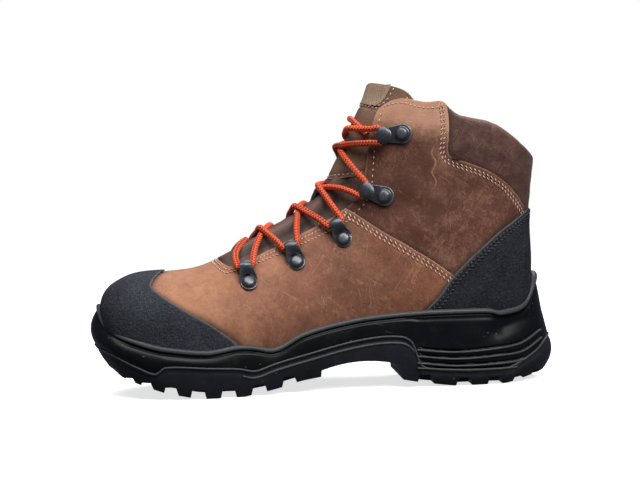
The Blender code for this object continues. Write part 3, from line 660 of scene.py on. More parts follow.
class Graph(NodeBuilder):
    """The nodes of one procedural material."""

    def __init__(self, name: str) -> None:
        """Starts a material with a bare surface shader."""
        self.material = bpy.data.materials.new(name)
        self.material.use_nodes = True
        self.tree = self.material.node_tree
        self.shader = self.tree.nodes["Principled BSDF"]
        self.place = self.out("ShaderNodeTexCoord", output="Object")

    def noise(self, size: float, detail: float = 3.0, rough: float = 0.5, at: Socket | None = None,
              distortion: float = 0.0) -> Value:
        """Noise whose features are about size millimetres across."""
        return Value(self, self.out("ShaderNodeTexNoise", None, {
            "Vector": at or self.place, "Scale": 1000 / size, "Detail": detail, "Roughness": rough,
            "Distortion": distortion}, "Fac"))

    def cells(self, size: float, feature: str = "F1", spread: float = 1.0) -> Value:
        """Distance to scattered spots about size millimetres apart, in units of that size."""
        return Value(self, self.out("ShaderNodeTexVoronoi", {"feature": feature}, {
            "Vector": self.place, "Scale": 1000 / size, "Randomness": spread}, "Distance"))

    def stretched(self, turn: Triple, scale: Triple) -> Socket:
        """Object coordinates turned by degrees and then scaled."""
        return self.out("ShaderNodeMapping", {"vector_type": "TEXTURE"}, {
            "Vector": self.place, "Rotation": tuple(math.radians(a) for a in turn), "Scale": scale})

    def axis(self, name: str) -> Value:
        """One Object coordinate, in millimetres."""
        return Value(self, self.out("ShaderNodeSeparateXYZ", None, {0: self.place}, name)) * 1000.0

    def field(self, name: str) -> Value:
        """A number stored on the mesh."""
        settings = {"attribute_name": name, "attribute_type": "GEOMETRY"}
        return Value(self, self.out("ShaderNodeAttribute", settings, output="Fac"))

    def ramp(self, value: Value, *stops: tuple[float, Rgb]) -> Socket:
        """A colour read from stops."""
        node = self.node("ShaderNodeValToRGB", None, {0: value})
        elements = node.color_ramp.elements
        while len(elements) < len(stops):
            elements.new(0.5)
        for element, (spot, colour) in zip(elements, stops):
            element.position, element.color = spot, (*colour, 1.0)
        return node.outputs[0]

    def mix(self, share: Value | float, first: Socket | Rgb, second: Socket | Rgb) -> Socket:
        """A mix of two colours."""
        node = self.node("ShaderNodeMix", {"data_type": "RGBA", "blend_type": "MIX", "clamp_factor": True}, {
            "Factor_Float": share, "A_Color": first, "B_Color": second})
        return next(s for s in node.outputs if s.identifier == "Result_Color")

    def finish(self, colour: Socket, roughness: Value, height: Value, depth: float, strength: float,
               **constants: float | Rgb) -> Material:
        """Links the surface shader.

        Args:
            colour: the base colour.
            roughness: the roughness.
            height: the relief, from 0 to about 1.
            depth: millimetres that a relief of 1 stands for.
            strength: the bump's strength.
            constants: the shader's own sockets, with _ for a space.

        Returns:
            The material.
        """
        bump = self.out("ShaderNodeBump", None, {"Height": height, "Distance": depth * MM, "Strength": strength})
        self.set_sockets(self.shader, {
            "Base Color": colour, "Roughness": roughness, "Normal": bump,
            **{key.replace("_", " "): value for key, value in constants.items()}})
        return self.material


class GeometryTree(NodeBuilder):
    """A Geometry Nodes tree with named inputs, run once on a piece and then removed."""

    def __init__(self, name: str, **inputs: float | int | None) -> None:
        """Starts a tree.

        Args:
            name: the tree's name.
            inputs: default of each named input: a float, an int, or None for an object.
        """
        self.tree = bpy.data.node_groups.new(name, "GeometryNodeTree")
        self.tree.is_modifier = True
        face = self.tree.interface
        face.new_socket("Geometry", in_out="INPUT", socket_type="NodeSocketGeometry")
        kinds = {float: "NodeSocketFloat", int: "NodeSocketInt", type(None): "NodeSocketObject"}
        self.keys = {}
        for label, default in inputs.items():
            socket = face.new_socket(label, in_out="INPUT", socket_type=kinds[type(default)])
            if default is not None:
                socket.default_value = default
            self.keys[label] = socket.identifier
        material = face.new_socket("Material", in_out="INPUT", socket_type="NodeSocketMaterial")
        self.keys["Material"] = material.identifier
        face.new_socket("Geometry", in_out="OUTPUT", socket_type="NodeSocketGeometry")
        self.start = self.tree.nodes.new("NodeGroupInput")
        self.end = self.tree.nodes.new("NodeGroupOutput")

    def math(self, operation: str, *values: Socket | float) -> Socket:
        """The output of a new Math node."""
        return self.out("ShaderNodeMath", {"operation": operation}, dict(enumerate(values)))

    def given(self, label: str) -> Socket:
        """A named input."""
        return self.start.outputs[label]

    def named(self, label: str, kind: str = "FLOAT_VECTOR") -> Socket:
        """A field stored on the geometry."""
        return self.out("GeometryNodeInputNamedAttribute", {"data_type": kind}, {"Name": label})

    def stored(self, geometry: Socket, label: str, value: Socket) -> Socket:
        """The geometry with a number stored on its points."""
        return self.out("GeometryNodeStoreNamedAttribute", {"data_type": "FLOAT", "domain": "POINT"}, {
            0: geometry, "Name": label, "Value": value})

    def line(self, step: Socket | None = None) -> Socket:
        """The given mesh's lines as curves, with points at an even step if one is named."""
        line = self.out("GeometryNodeMeshToCurve", None, {0: self.given("Geometry")})
        if step is None:
            return line
        return self.out("GeometryNodeResampleCurve", {"mode": "LENGTH"}, {0: line, "Length": step})

    def turned(self, up: Socket, way: Socket) -> Socket:
        """The rotation whose z axis is up and whose x axis points that way."""
        return self.out("FunctionNodeAxesToRotation", {"primary_axis": "Z", "secondary_axis": "X"}, {0: up, 1: way})

    def close(self, geometry: Socket) -> "GeometryTree":
        """Ends the tree: real geometry, smooth faces and its material."""
        real = self.out("GeometryNodeRealizeInstances", None, {0: geometry})
        smooth = self.out("GeometryNodeSetShadeSmooth", None, {0: real})
        done = self.out("GeometryNodeSetMaterial", None, {"Geometry": smooth, "Material": self.given("Material")})
        self.tree.links.new(done, self.end.inputs[0])
        return self

    def run(self, piece: Piece, **values: object) -> None:
        """Turns a piece into what the tree makes of it, in the piece's own material.

        Args:
            piece: the piece whose mesh goes in.
            values: the other named inputs.
        """
        modifier = piece.modifiers.new(self.tree.name, "NODES")
        modifier.node_group = self.tree
        for label, value in {**values, "Material": piece.data.materials[0]}.items():
            modifier[self.keys[label]] = value
        apply_modifiers(piece)


@dataclass(frozen=True)
class Nubuck:
    """Waxed nubuck leather: mottled, napped, scratched, paler where it is pulled, rubbed or cut, with painted light at
    the toe, top and rear as set, darker towards the bottom, and painted shade along overlapping edges.
    """

    name: str
    deep: Rgb
    middle: Rgb
    pale: Rgb
    wear_and_highlight: Rgb
    scratches: float = 0.5
    # amounts of painted light towards the toe, on top and at the rear, and of darkening towards the bottom
    painted_toe_light: float = 0.0
    darkening: float = 0.5
    painted_top_light: float = 0.0
    painted_rear_light: float = 0.0
    contrast: float = 0.85
    scar: float = 0.0

    def material(self) -> Material:
        """Builds the material."""
        g = Graph(self.name)
        cloud = g.noise(46, 4, 0.55, distortion=0.4)
        blotch = g.noise(11, 4, 0.6)
        mottle = g.noise(3.6, 5, 0.66, distortion=0.5)
        nap = g.noise(1.2, 3, 0.65)
        grain = g.noise(0.5, 2, 0.5)
        low, along = g.axis("Z"), g.axis("X")
        tone = (cloud * 0.55 + blotch * 0.42 + mottle * 0.5 + nap * 0.34 - 0.905) * self.contrast + 0.5
        # painted light: the toe end is drawn paler and the heel end darker
        if self.painted_toe_light:
            tone = tone + (along.step(25, -95) - 0.35) * self.painted_toe_light
        # painted light: the shaft's top is drawn paler, as if lit from above
        if self.painted_top_light:
            tone = tone + (low + along * 0.12).step(164, 199) * self.painted_top_light - 0.06
        # painted light: the rear is drawn paler
        tone = tone + along.step(15, 95) * self.painted_rear_light
        colour = g.ramp(tone, (0.2, self.deep), (0.5, self.middle), (0.82, self.pale))
        # hairline scratches that run in three directions, thinned out by patches
        marks = None
        for turn, length, patch in (((0, 35, 0), 9.0, 17), ((0, -58, 0), 12.0, 23), ((0, 82, 0), 7.0, 14)):
            contour = g.noise(4.2, 2, 0.5, g.stretched(turn, (length, 1, 1)), distortion=0.7)
            kept = g.noise(patch, 3, 0.6).step(0.44, 0.66)
            mark = abs(contour - 0.5).step(0.022, 0.006) * kept * (0.25 + grain)
            marks = mark if marks is None else marks.most(mark)
        colour = g.mix((marks * self.scratches).least(1.0), colour, self.wear_and_highlight)
        scuff = g.noise(4.5, 5, 0.75).step(0.58, 0.78) * g.noise(31, 2, 0.5).step(0.48, 0.66)
        colour = g.mix(scuff * 0.36, colour, self.wear_and_highlight)
        if self.scar:
            # one long wavering scratch on the inner side
            scar = abs(along - ((low - 131) * 0.5).sine() * 1.2 - 73.3).step(0.75, 0.2) * low.step(129, 133)
            scar = scar * low.step(158, 154) * g.axis("Y").step(0, -5) * (0.4 + mottle)
            colour = g.mix(scar * self.scar, colour, self.wear_and_highlight)
        pull = g.field("pull")
        strained = tuple((m + p) / 2 for m, p in zip(self.middle, self.pale))
        colour = g.mix(pull * 0.5 * (0.2 + mottle * 0.9), colour, strained)
        edge = g.field("edge")
        colour = g.mix(edge * (0.35 + nap * 0.5), colour, self.wear_and_highlight)
        # darker towards the bottom, in blotches, and painted shade along the edges of parts that lie over the leather
        darkening = (low + blotch * 22).step(68, 34) * self.darkening + g.field("shade") * 0.75
        colour = g.mix(darkening.least(0.85), colour, scaled(self.deep, 0.32))
        dust = g.cells(3.4).step(0.085, 0.05) * g.noise(15, 2).step(0.55, 0.7)
        colour = g.mix(dust * 0.55, colour, (0.5, 0.42, 0.35))
        rough = 0.60 + nap * 0.22 + marks * 0.1 - cloud * 0.12
        pores = g.cells(0.85).step(0.0, 0.55)
        height = nap * 0.34 + grain * 0.2 + mottle * 0.5 + pores * 0.12 - marks * 0.2
        return g.finish(colour, rough, height, 0.42, 0.75, Specular_IOR_Level=0.32, Sheen_Weight=0.08,
                        Sheen_Roughness=0.55, Sheen_Tint=(1.0, 0.8, 0.66))


@dataclass(frozen=True)
class CutEdge:
    """The pale fibrous cut edge of leather."""

    name: str
    colour: Rgb

    def material(self) -> Material:
        """Builds the material."""
        g = Graph(self.name)
        fibre = g.noise(0.7, 3, 0.6)
        worn = g.noise(9, 3, 0.6)
        colour = g.ramp(fibre * 0.5 + worn * 0.5, (0.3, scaled(self.colour, 0.45)), (0.66, self.colour))
        return g.finish(colour, 0.78 + fibre * 0.15, fibre, 0.25, 0.8, Specular_IOR_Level=0.2)


@dataclass(frozen=True)
class SmoothLeather:
    """Softer lining and gusset leather, with a fine grain and a little shine."""

    name: str
    deep: Rgb
    pale: Rgb
    rough: float = 0.55
    grain: float = 1.0

    def material(self) -> Material:
        """Builds the material."""
        g = Graph(self.name)
        cloud = g.noise(19, 4, 0.6)
        grain = g.cells(0.95 * self.grain, spread=0.9)
        fine = g.noise(0.6, 3, 0.6)
        crease = 1.0 - abs(g.noise(6.5, 3, 0.5, distortion=0.6) - 0.5).step(0.0, 0.05)
        colour = g.ramp(cloud * 0.6 + fine * 0.25 + grain * 0.15, (0.32, self.deep), (0.66, self.pale))
        # paler along the edge field: the tongue pad's rubbed border, and a painted highlight on the gusset's fold
        # crest
        colour = g.mix(g.field("edge") * 0.5, colour, tuple(min(c * 1.9, 1) for c in self.pale))
        # painted shade where the shade field is set
        colour = g.mix(g.field("shade") * 0.85, colour, scaled(self.deep, 0.25))
        height = grain * 0.5 + fine * 0.25 - crease * 0.22
        return g.finish(colour, self.rough + fine * 0.2 - cloud * 0.08, height, 0.3, 0.7, Specular_IOR_Level=0.4)


@dataclass(frozen=True)
class GuardFabric:
    """Black coated fabric: pebbled, matt, with paler rubbed grains and dust, and painted light towards the toe."""

    name: str
    deep: Rgb = (0.004, 0.0045, 0.006)
    pale: Rgb = (0.024, 0.027, 0.036)

    def material(self) -> Material:
        """Builds the material."""
        g = Graph(self.name)
        pebble = g.cells(1.3, "SMOOTH_F1", spread=1.0)
        fine = g.noise(0.7, 3, 0.7)
        cloud = g.noise(27, 4, 0.6)
        raised = g.noise(1.7, 3, 0.7)
        # painted light: the toe end is drawn a little paler than the heel end
        tone = fine * 0.5 + raised * 0.4 + cloud * 0.25 - 0.1 + g.axis("X").step(60, -90) * 0.05
        colour = g.ramp(tone, (0.36, self.deep), (0.56, self.pale), (0.72, scaled(self.pale, 2.6)))
        fleck = g.cells(1.5).step(0.2, 0.1) * g.noise(9, 3).step(0.4, 0.62)
        colour = g.mix(fleck * 0.7, colour, (0.13, 0.14, 0.165))
        wear_and_highlight = g.noise(7, 4, 0.7).step(0.56, 0.74) * g.noise(38, 2).step(0.48, 0.66)
        colour = g.mix(wear_and_highlight * 0.35, colour, (0.085, 0.088, 0.098))
        colour = g.mix(g.field("edge") * (0.2 + fine * 0.5), colour, (0.2, 0.2, 0.21))
        height = pebble * 0.6 + fine * 0.4 + raised * 0.9
        return g.finish(colour, 0.7 + fine * 0.2, height, 0.6, 0.95, Specular_IOR_Level=0.22)


@dataclass(frozen=True)
class Rubber:
    """Moulded black rubber with dust and fine scratches, and a painted highlight where the edge field is set."""

    name: str
    deep: Rgb
    pale: Rgb
    rough: float
    dust: float
    coat: float = 0.0
    shine: float = 0.24

    def material(self) -> Material:
        """Builds the material."""
        g = Graph(self.name)
        cloud = g.noise(24, 4, 0.6)
        fine = g.noise(1.1, 3, 0.6)
        colour = g.ramp(cloud * 0.7 + fine * 0.3, (0.34, self.deep), (0.7, self.pale))
        speck = g.cells(4.6).step(0.075, 0.04) * g.noise(17, 2).step(0.46, 0.6)
        film = g.noise(13, 5, 0.7).step(0.5, 0.8) * self.dust
        colour = g.mix(film * 0.3, colour, (0.16, 0.15, 0.14))
        colour = g.mix(speck * 0.6, colour, (0.42, 0.4, 0.37))
        streak = g.noise(0.9, 1, 0.4, g.stretched((0, 12, 0), (14, 1, 1))).step(0.68, 0.76)
        streak = streak * g.noise(21, 2).step(0.52, 0.66)
        colour = g.mix(streak * 0.22, colour, (0.2, 0.2, 0.2))
        # painted highlight: where the edge field is set (the midsole's bead and the raised sole lines) the rubber is
        # drawn paler
        colour = g.mix(g.field("edge") * (0.15 + fine * 0.4), colour, (0.22, 0.225, 0.24))
        rough = self.rough + film * 0.25 + streak * 0.12 + (cloud - 0.5) * 0.1 + speck * 0.3
        height = fine * 0.2 + cloud * 0.5 - streak * 0.3
        return g.finish(colour, rough, height, 0.06, 0.6, Specular_IOR_Level=self.shine, Coat_Weight=self.coat,
                        Coat_Roughness=0.2)


@dataclass(frozen=True)
class Textile:
    """Dark knitted lining or footbed cloth, with an even mesh of small hollows."""

    name: str
    deep: Rgb
    pale: Rgb
    pitch: float = 1.7

    def material(self) -> Material:
        """Builds the material."""
        g = Graph(self.name)
        mesh = g.cells(self.pitch, spread=0.25)
        fuzz = g.noise(0.7, 3, 0.7)
        cloud = g.noise(26, 3, 0.6)
        tone = (1.0 - mesh) * 0.45 + fuzz * 0.3 + cloud * 0.35
        colour = g.ramp(tone, (0.35, self.deep), (0.75, self.pale))
        # painted shade where the shade field is set
        colour = g.mix(g.field("shade") * 0.8, colour, scaled(self.deep, 0.3))
        return g.finish(colour, 0.85 + fuzz * 0.1, (1.0 - mesh) * 0.7 + fuzz * 0.4, 0.4, 0.9,
                        Specular_IOR_Level=0.2, Sheen_Weight=0.2, Sheen_Roughness=0.6)


@dataclass(frozen=True)
class Gunmetal:
    """Dark coated steel, worn brighter where it is rubbed."""

    name: str
    base: Rgb = (0.05, 0.056, 0.068)
    bright: Rgb = (0.24, 0.25, 0.27)

    def material(self) -> Material:
        """Builds the material."""
        g = Graph(self.name)
        cloud = g.noise(3.2, 4, 0.6)
        fine = g.noise(0.5, 3, 0.6)
        worn = cloud.step(0.55, 0.75)
        colour = g.mix(worn * 0.45, self.base, self.bright)
        colour = g.mix(g.field("edge") * 0.6, colour, self.bright)
        rough = 0.3 + fine * 0.16 + worn * 0.1
        return g.finish(colour, rough, fine * 0.6 + cloud * 0.4, 0.05, 0.5, Metallic=0.55,
                        Specular_IOR_Level=0.5, Coat_Weight=0.25, Coat_Roughness=0.25)


@dataclass(frozen=True)
class BraidedCord:
    """Round braided cord, orange with a dark red fleck in every few picks, with a painted highlight on the picks'
    crowns and painted shade in the valleys between them.
    """

    name: str
    orange: Rgb = (0.5, 0.035, 0.009)
    crest_highlight: Rgb = (0.95, 0.15, 0.035)
    fleck: Rgb = (0.085, 0.006, 0.005)
    picks: float = 2.3

    def material(self) -> Material:
        """Builds the material; the mesh holds along, in millimetres, and around, from 0 to 1."""
        g = Graph(self.name)
        along, around = g.field("along"), g.field("around")
        left = (around * (8 * math.pi) + along * (2 * math.pi / self.picks)).sine()
        right = (around * (8 * math.pi) - along * (2 * math.pi / self.picks)).sine()
        valley = left.most(right).step(0.35, -0.3)
        fibre = g.noise(0.5, 2, 0.6)
        # painted highlight: the picks' crowns are drawn in the paler orange
        colour = g.mix((left.most(right)).step(0.1, 1.0) * (0.4 + fibre * 0.6), self.orange, self.crest_highlight)
        seam = (around * (8 * math.pi)).sine() + (along * (2 * math.pi / self.picks)).sine() * 0.6
        colour = g.mix(seam.step(-0.35, -0.9) * 0.95, colour, self.fleck)
        # painted shade: the valleys between the picks are darkened with the fleck colour
        colour = g.mix(valley * 0.8, colour, self.fleck)
        darkening = g.noise(9, 3, 0.6).step(0.52, 0.75)
        colour = g.mix(darkening * 0.3, colour, (0.3, 0.06, 0.02))
        return g.finish(colour, 0.62 + fibre * 0.2, fibre, 0.12, 0.8, Specular_IOR_Level=0.35,
                        Sheen_Weight=0.15, Sheen_Roughness=0.4)


@dataclass(frozen=True)
class SewingThread:
    """Twisted sewing thread."""

    name: str
    colour: Rgb

    def material(self) -> Material:
        """Builds the material."""
        g = Graph(self.name)
        twist = g.noise(0.55, 2, 0.5)
        worn = g.noise(6, 3, 0.6)
        colour = g.ramp(twist * 0.5 + worn * 0.5, (0.3, scaled(self.colour, 0.5)), (0.62, self.colour))
        return g.finish(colour, 0.6 + twist * 0.25, twist, 0.1, 0.8, Specular_IOR_Level=0.3)


class Finishes:
    """Every material of the boot, made once."""

    def __init__(self) -> None:
        """Builds the materials."""
        tan = (0.45, 0.25, 0.15)
        self.lower = Nubuck("nubuck_lower_panel", (0.084, 0.029, 0.0155), (0.196, 0.0715, 0.0365),
                            (0.338, 0.15, 0.078), tan, scratches=0.42, painted_toe_light=0.38, painted_rear_light=0.24,
                            contrast=1.0).material()
        self.shaft = Nubuck("nubuck_shaft", (0.047, 0.015, 0.008), (0.089, 0.029, 0.0162), (0.37, 0.19, 0.12),
                            tan, scratches=0.26, darkening=0.0, painted_top_light=0.72, painted_rear_light=0.1, contrast=0.6,
                            scar=0.5).material()
        self.collar = Nubuck("nubuck_collar", (0.034, 0.0135, 0.0098), (0.07, 0.0285, 0.0215), (0.15, 0.07, 0.056),
                             (0.26, 0.15, 0.12), scratches=0.45, darkening=0.0, contrast=1.15).material()
        self.cut = CutEdge("leather_cut_edge", (0.62, 0.43, 0.28)).material()
        self.guard = GuardFabric("guard_fabric").material()
        self.guard_cut = CutEdge("guard_cut_edge", (0.10, 0.10, 0.105)).material()
        self.gusset = SmoothLeather("gusset_leather", (0.055, 0.027, 0.021), (0.12, 0.062, 0.048)).material()
        self.tongue = SmoothLeather("tongue_leather", (0.10, 0.050, 0.030), (0.2, 0.11, 0.068), rough=0.6,
                                    grain=1.3).material()
        self.label = SmoothLeather("bare_patch", (0.2, 0.135, 0.092), (0.43, 0.3, 0.21), rough=0.75,
                                   grain=0.8).material()
        self.lining = Textile("lining_cloth", (0.016, 0.013, 0.012), (0.058, 0.046, 0.04)).material()
        self.footbed = Textile("footbed_cloth", (0.015, 0.015, 0.016), (0.06, 0.058, 0.056), pitch=1.3).material()
        self.midsole = Rubber("midsole_rubber", (0.0022, 0.0026, 0.0036), (0.0045, 0.005, 0.0065), rough=0.3,
                              dust=0.12, coat=0.03, shine=0.15).material()
        self.outsole = Rubber("outsole_rubber", (0.006, 0.0072, 0.0098), (0.014, 0.0165, 0.0215), rough=0.46,
                              dust=0.2).material()
        self.metal = Gunmetal("gunmetal").material()
        self.cord = BraidedCord("braided_cord").material()
        self.keeper = SewingThread("keeper_webbing", (0.018, 0.017, 0.017)).material()
        # the hole colour paints the shade inside the needle holes
        threads = {Thread.TAN: (0.66, 0.44, 0.345), Thread.BLACK: (0.045, 0.046, 0.052),
                   Thread.HOLE: (0.016, 0.007, 0.005)}
        self.thread = {kind: SewingThread(f"thread_{kind.value}", tone).material() for kind, tone in threads.items()}
        self.thread[Thread.KNURL] = self.outsole


# Lines of the upper in side view, x and z
TOE_CAP_LINE = ((-103.5, 79.8), (-107.3, 78.8), (-111.5, 75.2), (-113, 71.2), (-107.3, 66.1), (-91.8, 56.2),
                (-76.2, 47), (-60.6, 35.5), (-53, 26), (-49, 20.5))
COUNTER_LINE = ((50, 34), (57, 41), (65.7, 49.8), (75.2, 59.3), (83.7, 71.2), (92.6, 80.4), (101.9, 88.6),
                (115.5, 99.8), (127, 107.5), (135.8, 113.2), (139.5, 116))
QUARTER_SEAM = ((14.3, 119.4), (21.2, 115.2), (30.6, 108.5), (40.2, 101.8), (49.8, 96), (62.9, 87.6), (74.1, 80.2),
                (85.8, 70.9), (95, 63))
COLLAR_SEAM = ((82.4, 184.6), (83.3, 180), (83.8, 172.1), (83.3, 161.7), (82.6, 154.5), (83.4, 151.2), (86.2, 149.2),
               (91.6, 147.2), (98, 144.9), (104.8, 142.3), (111.4, 139), (117.5, 135.2), (122.6, 131.3),
               (126.7, 126.9), (131.1, 122), (135.6, 116), (138.6, 111.5))
# Spots where the leather is pulled pale, on the lower panel and on the shaft
LOWER_PULLS = (((-52, 66), (-48, 62)), ((-18, 78), (-14, 73)), ((19, 93), (22, 88)), ((-104, 74), (-96, 76)))
SHAFT_PULLS = (((75, 154), (78, 143), (75, 128)), ((48, 180), (58, 182), (72, 180)), ((45, 152), (42, 140)))
# The upper's top edge: turns and places
RIM = np.array((
    (-1, 15.95), (-.6, 15.93), (-.51, 15.9), (-.41, 15.9), (-.32, 15.92), (-.25, 15.95), (-.16, 15.94), (-.08, 15.87),
    (-.03, 15.81), (0, 15.75), (.02, 15.75), (.05, 15.79), (.08, 15.88), (.1, 15.93), (.13, 15.92), (.18, 15.83),
    (.23, 15.8), (.3, 15.85), (.36, 15.93), (.42, 15.98), (.5, 15.93), (.545, 15.8), (.58, 15.6), (.61, 15.3),
))


def rim_place(turn: Array) -> Array:
    """Places of the upper's top edge."""
    return np.interp(turn, RIM[:, 0], RIM[:, 1])


def beside(line: Line, away: float, count: int = 80) -> Array:
    """A side-view line that runs beside another, on its right hand.

    Args:
        line: x and z of the line's points.
        away: how far beside, in millimetres.
        count: how many points to return.

    Returns:
        x and z of the new points.
    """
    points = rounded_line(line, count)
    along = unit(np.gradient(points, axis=0))
    return points + np.stack([along[:, 1], -along[:, 0]], axis=1) * away


@dataclass
class Seam:
    """One row of stitches: its line, the direction out of the leather, its thread and its sizes."""

    points: Array
    up: Array
    thread: Thread
    pitch: float = 2.9
    length: float = 2.4
    width: float = 0.8
    slant: float = 0.0


class SeamBook:
    """The boot's stitch rows, kept until all panels are made."""

    hole_depth: float = 0.1
    hole_size: Pair = (0.9, 0.7)

    def __init__(self) -> None:
        """Starts empty."""
        self.rows: list[Seam] = []

    def on_form(self, line: Array, side: int, out: Array | float, thread: Thread, **sizes: float) -> Array:
        """Adds a row along a line on the form.

        Args:
            line: places and turns along it.
            side: -1 or 1.
            out: how far the thread's middle stands off the form.
            thread: the thread.
            sizes: other fields of Seam.

        Returns:
            Close points along the row.
        """
        place, turn = line.T
        points, up = FORM.offset(place, turn, side, out), FORM.normal(place, turn, side)
        row = Seam(points, up, thread, **sizes)
        self.rows.append(row)
        # the needle's holes, between the stitches: sunk dark dots whose darkness is painted shade
        rest = lengths_along(points) > row.pitch / 2
        if thread is Thread.TAN and rest.sum() > 2:
            self.rows.append(Seam(points[rest] - self.hole_depth * up[rest], up[rest], Thread.HOLE, row.pitch,
                                  *self.hole_size))
        return dense(points)


@dataclass(frozen=True)
class Crease:
    """A soft trough, or a ridge where its depth is negative, along a side-view line."""

    line: Line
    depth: float
    width: float
    sides: tuple[int, ...] = SIDES

    def fall(self, points: Array, side: int) -> Array:
        """How far each point sinks."""
        if side not in self.sides:
            return np.zeros(points.shape[:-1])
        flat = rounded_line(self.line, 40)
        keys = np.stack([flat[:, 0], np.zeros(40), flat[:, 1]], axis=1)
        seen = points * np.array((1.0, 0, 1.0))
        sunk = self.depth * bump(distance_to(seen, keys), self.width)
        # the ends fade out
        ends = np.minimum(np.linalg.norm(seen - keys[0], axis=-1), np.linalg.norm(seen - keys[-1], axis=-1))
        return sunk * (0.25 + 0.75 * soft_step(0, 2.5 * self.width, ends))


CREASES = (
    Crease(((-96, 76), (-90, 66), (-82, 58)), 0.5, 5.0),
    Crease(((-70, 82), (-66, 72), (-58, 62)), 0.6, 5.0, (-1,)),
    Crease(((-84, 80), (-76, 70), (-66, 58), (-60, 50)), 0.7, 6.0, (1,)),
    Crease(((-34, 84), (-27, 74), (-22, 66)), 0.55, 4.5, (-1,)),
    Crease(((-6, 92), (0, 82), (3, 70)), -0.5, 5.0),
    Crease(((24, 96), (34, 84), (40, 68)), 0.7, 7.0),
    Crease(((14, 90), (22, 76), (26, 60)), 0.5, 6.0, (1,)),
    Crease(((71, 152), (77, 144), (78, 134), (73, 124)), -0.8, 4.5),
    Crease(((60, 150), (66, 138), (66, 124)), 0.8, 6.0),
    Crease(((88, 136), (98, 126), (110, 118)), 0.8, 7.0),
    Crease(((40, 128), (56, 119), (74, 113)), 0.7, 6.5),
    Crease(((46, 110), (60, 104), (78, 98)), -0.5, 5.0),
    Crease(((48, 168), (56, 158), (66, 152)), 0.5, 6.0, (1,)),
    Crease(((96, 168), (108, 158), (122, 152)), 0.9, 6.0),
    Crease(((100, 150), (114, 146), (130, 142)), 0.8, 5.0),
    Crease(((112, 136), (124, 132), (136, 130)), 0.6, 4.0),
)


def undulation(points: Array, size: float, seed: float) -> Array:
    """Smooth noise at points of a grid, from about -1 to 1.

    Args:
        points: the points.
        size: distance between its hills.
        seed: where in the noise to read.

    Returns:
        The noise, in the grid's shape.
    """
    phase = np.array((12.9, 78.2, 37.7)) * seed
    total = np.zeros(points.shape[:-1])
    for k, (a, b, c) in enumerate(((1, .62, -.4), (-.5, 1.1, .7), (.8, -.7, 1.0), (-1.2, -.3, .9), (.3, .9, -1.3))):
        wave = points @ np.array((a, b, c)) * (2 * math.pi / size / 1.3)
        total += np.sin(wave + phase[k % 3] + k * 1.7 + 0.8 * np.sin(wave * 0.37 + k))
    return total / 3.2


def leather_out(params: Array, side: int, base: float, sunk: Sequence[Array] = (), wave: float = 1.0) -> Array:
    """How far a leather panel stands off the form at each point of its grid.

    Args:
        params: places and turns.
        side: -1 or 1.
        base: the panel's layer.
        sunk: stitch rows that pull the leather in.
        wave: scales the leather's slight unevenness.

    Returns:
        The offsets, in the grid's shape.
    """
    points = FORM.point(params[..., 0], params[..., 1], side)
    out = base + wave * (0.22 * undulation(points, 34, 1.0) + 0.07 * undulation(points, 11, 2.0))
    for crease in CREASES:
        out = out - crease.fall(points, side)
    for row in sunk:
        away = distance_to(points, row)
        out = out - 0.32 * bump(away, 1.1)
    return out


def border_fields(points: Array, edges: Sequence[Array], roofs: Sequence[Array], pulls: Sequence[Array]) -> dict:
    """The numbers that a leather material reads.

    Args:
        points: the panel's grid.
        edges: lines of cut edges, which are rubbed pale.
        roofs: edges of parts that lie over the panel, along which shade is painted.
        pulls: lines or spots where the leather is stretched pale.

    Returns:
        Fields named edge, shade and pull.
    """
    def near(lines: Sequence[Array], reach: float) -> Array:
        """How near each point is to the lines, from 0 to 1."""
        total = np.zeros(points.shape[:-1])
        for line in lines:
            total = np.maximum(total, bump(distance_to(points, line), reach))
        return total

    return {"edge": near(edges, 0.8), "shade": near(roofs, 2.4), "pull": near(pulls, 5.0)}


def dense(points: Array, step: float = 0.6) -> Array:
    """The line's points at an even small step."""
    return read_along(points, max(int(lengths_along(points)[-1] / step), 2))


def on_form(line: Array, side: int) -> Array:
    """Points of a line of places and turns."""
    return FORM.point(line[:, 0], line[:, 1], side)


def traced(line: Line, side: int, away: float = 0.0) -> Array:
    """Close points on the form along a side-view line, or beside it."""
    return dense(on_form(FORM.locate(beside(line, away)), side))


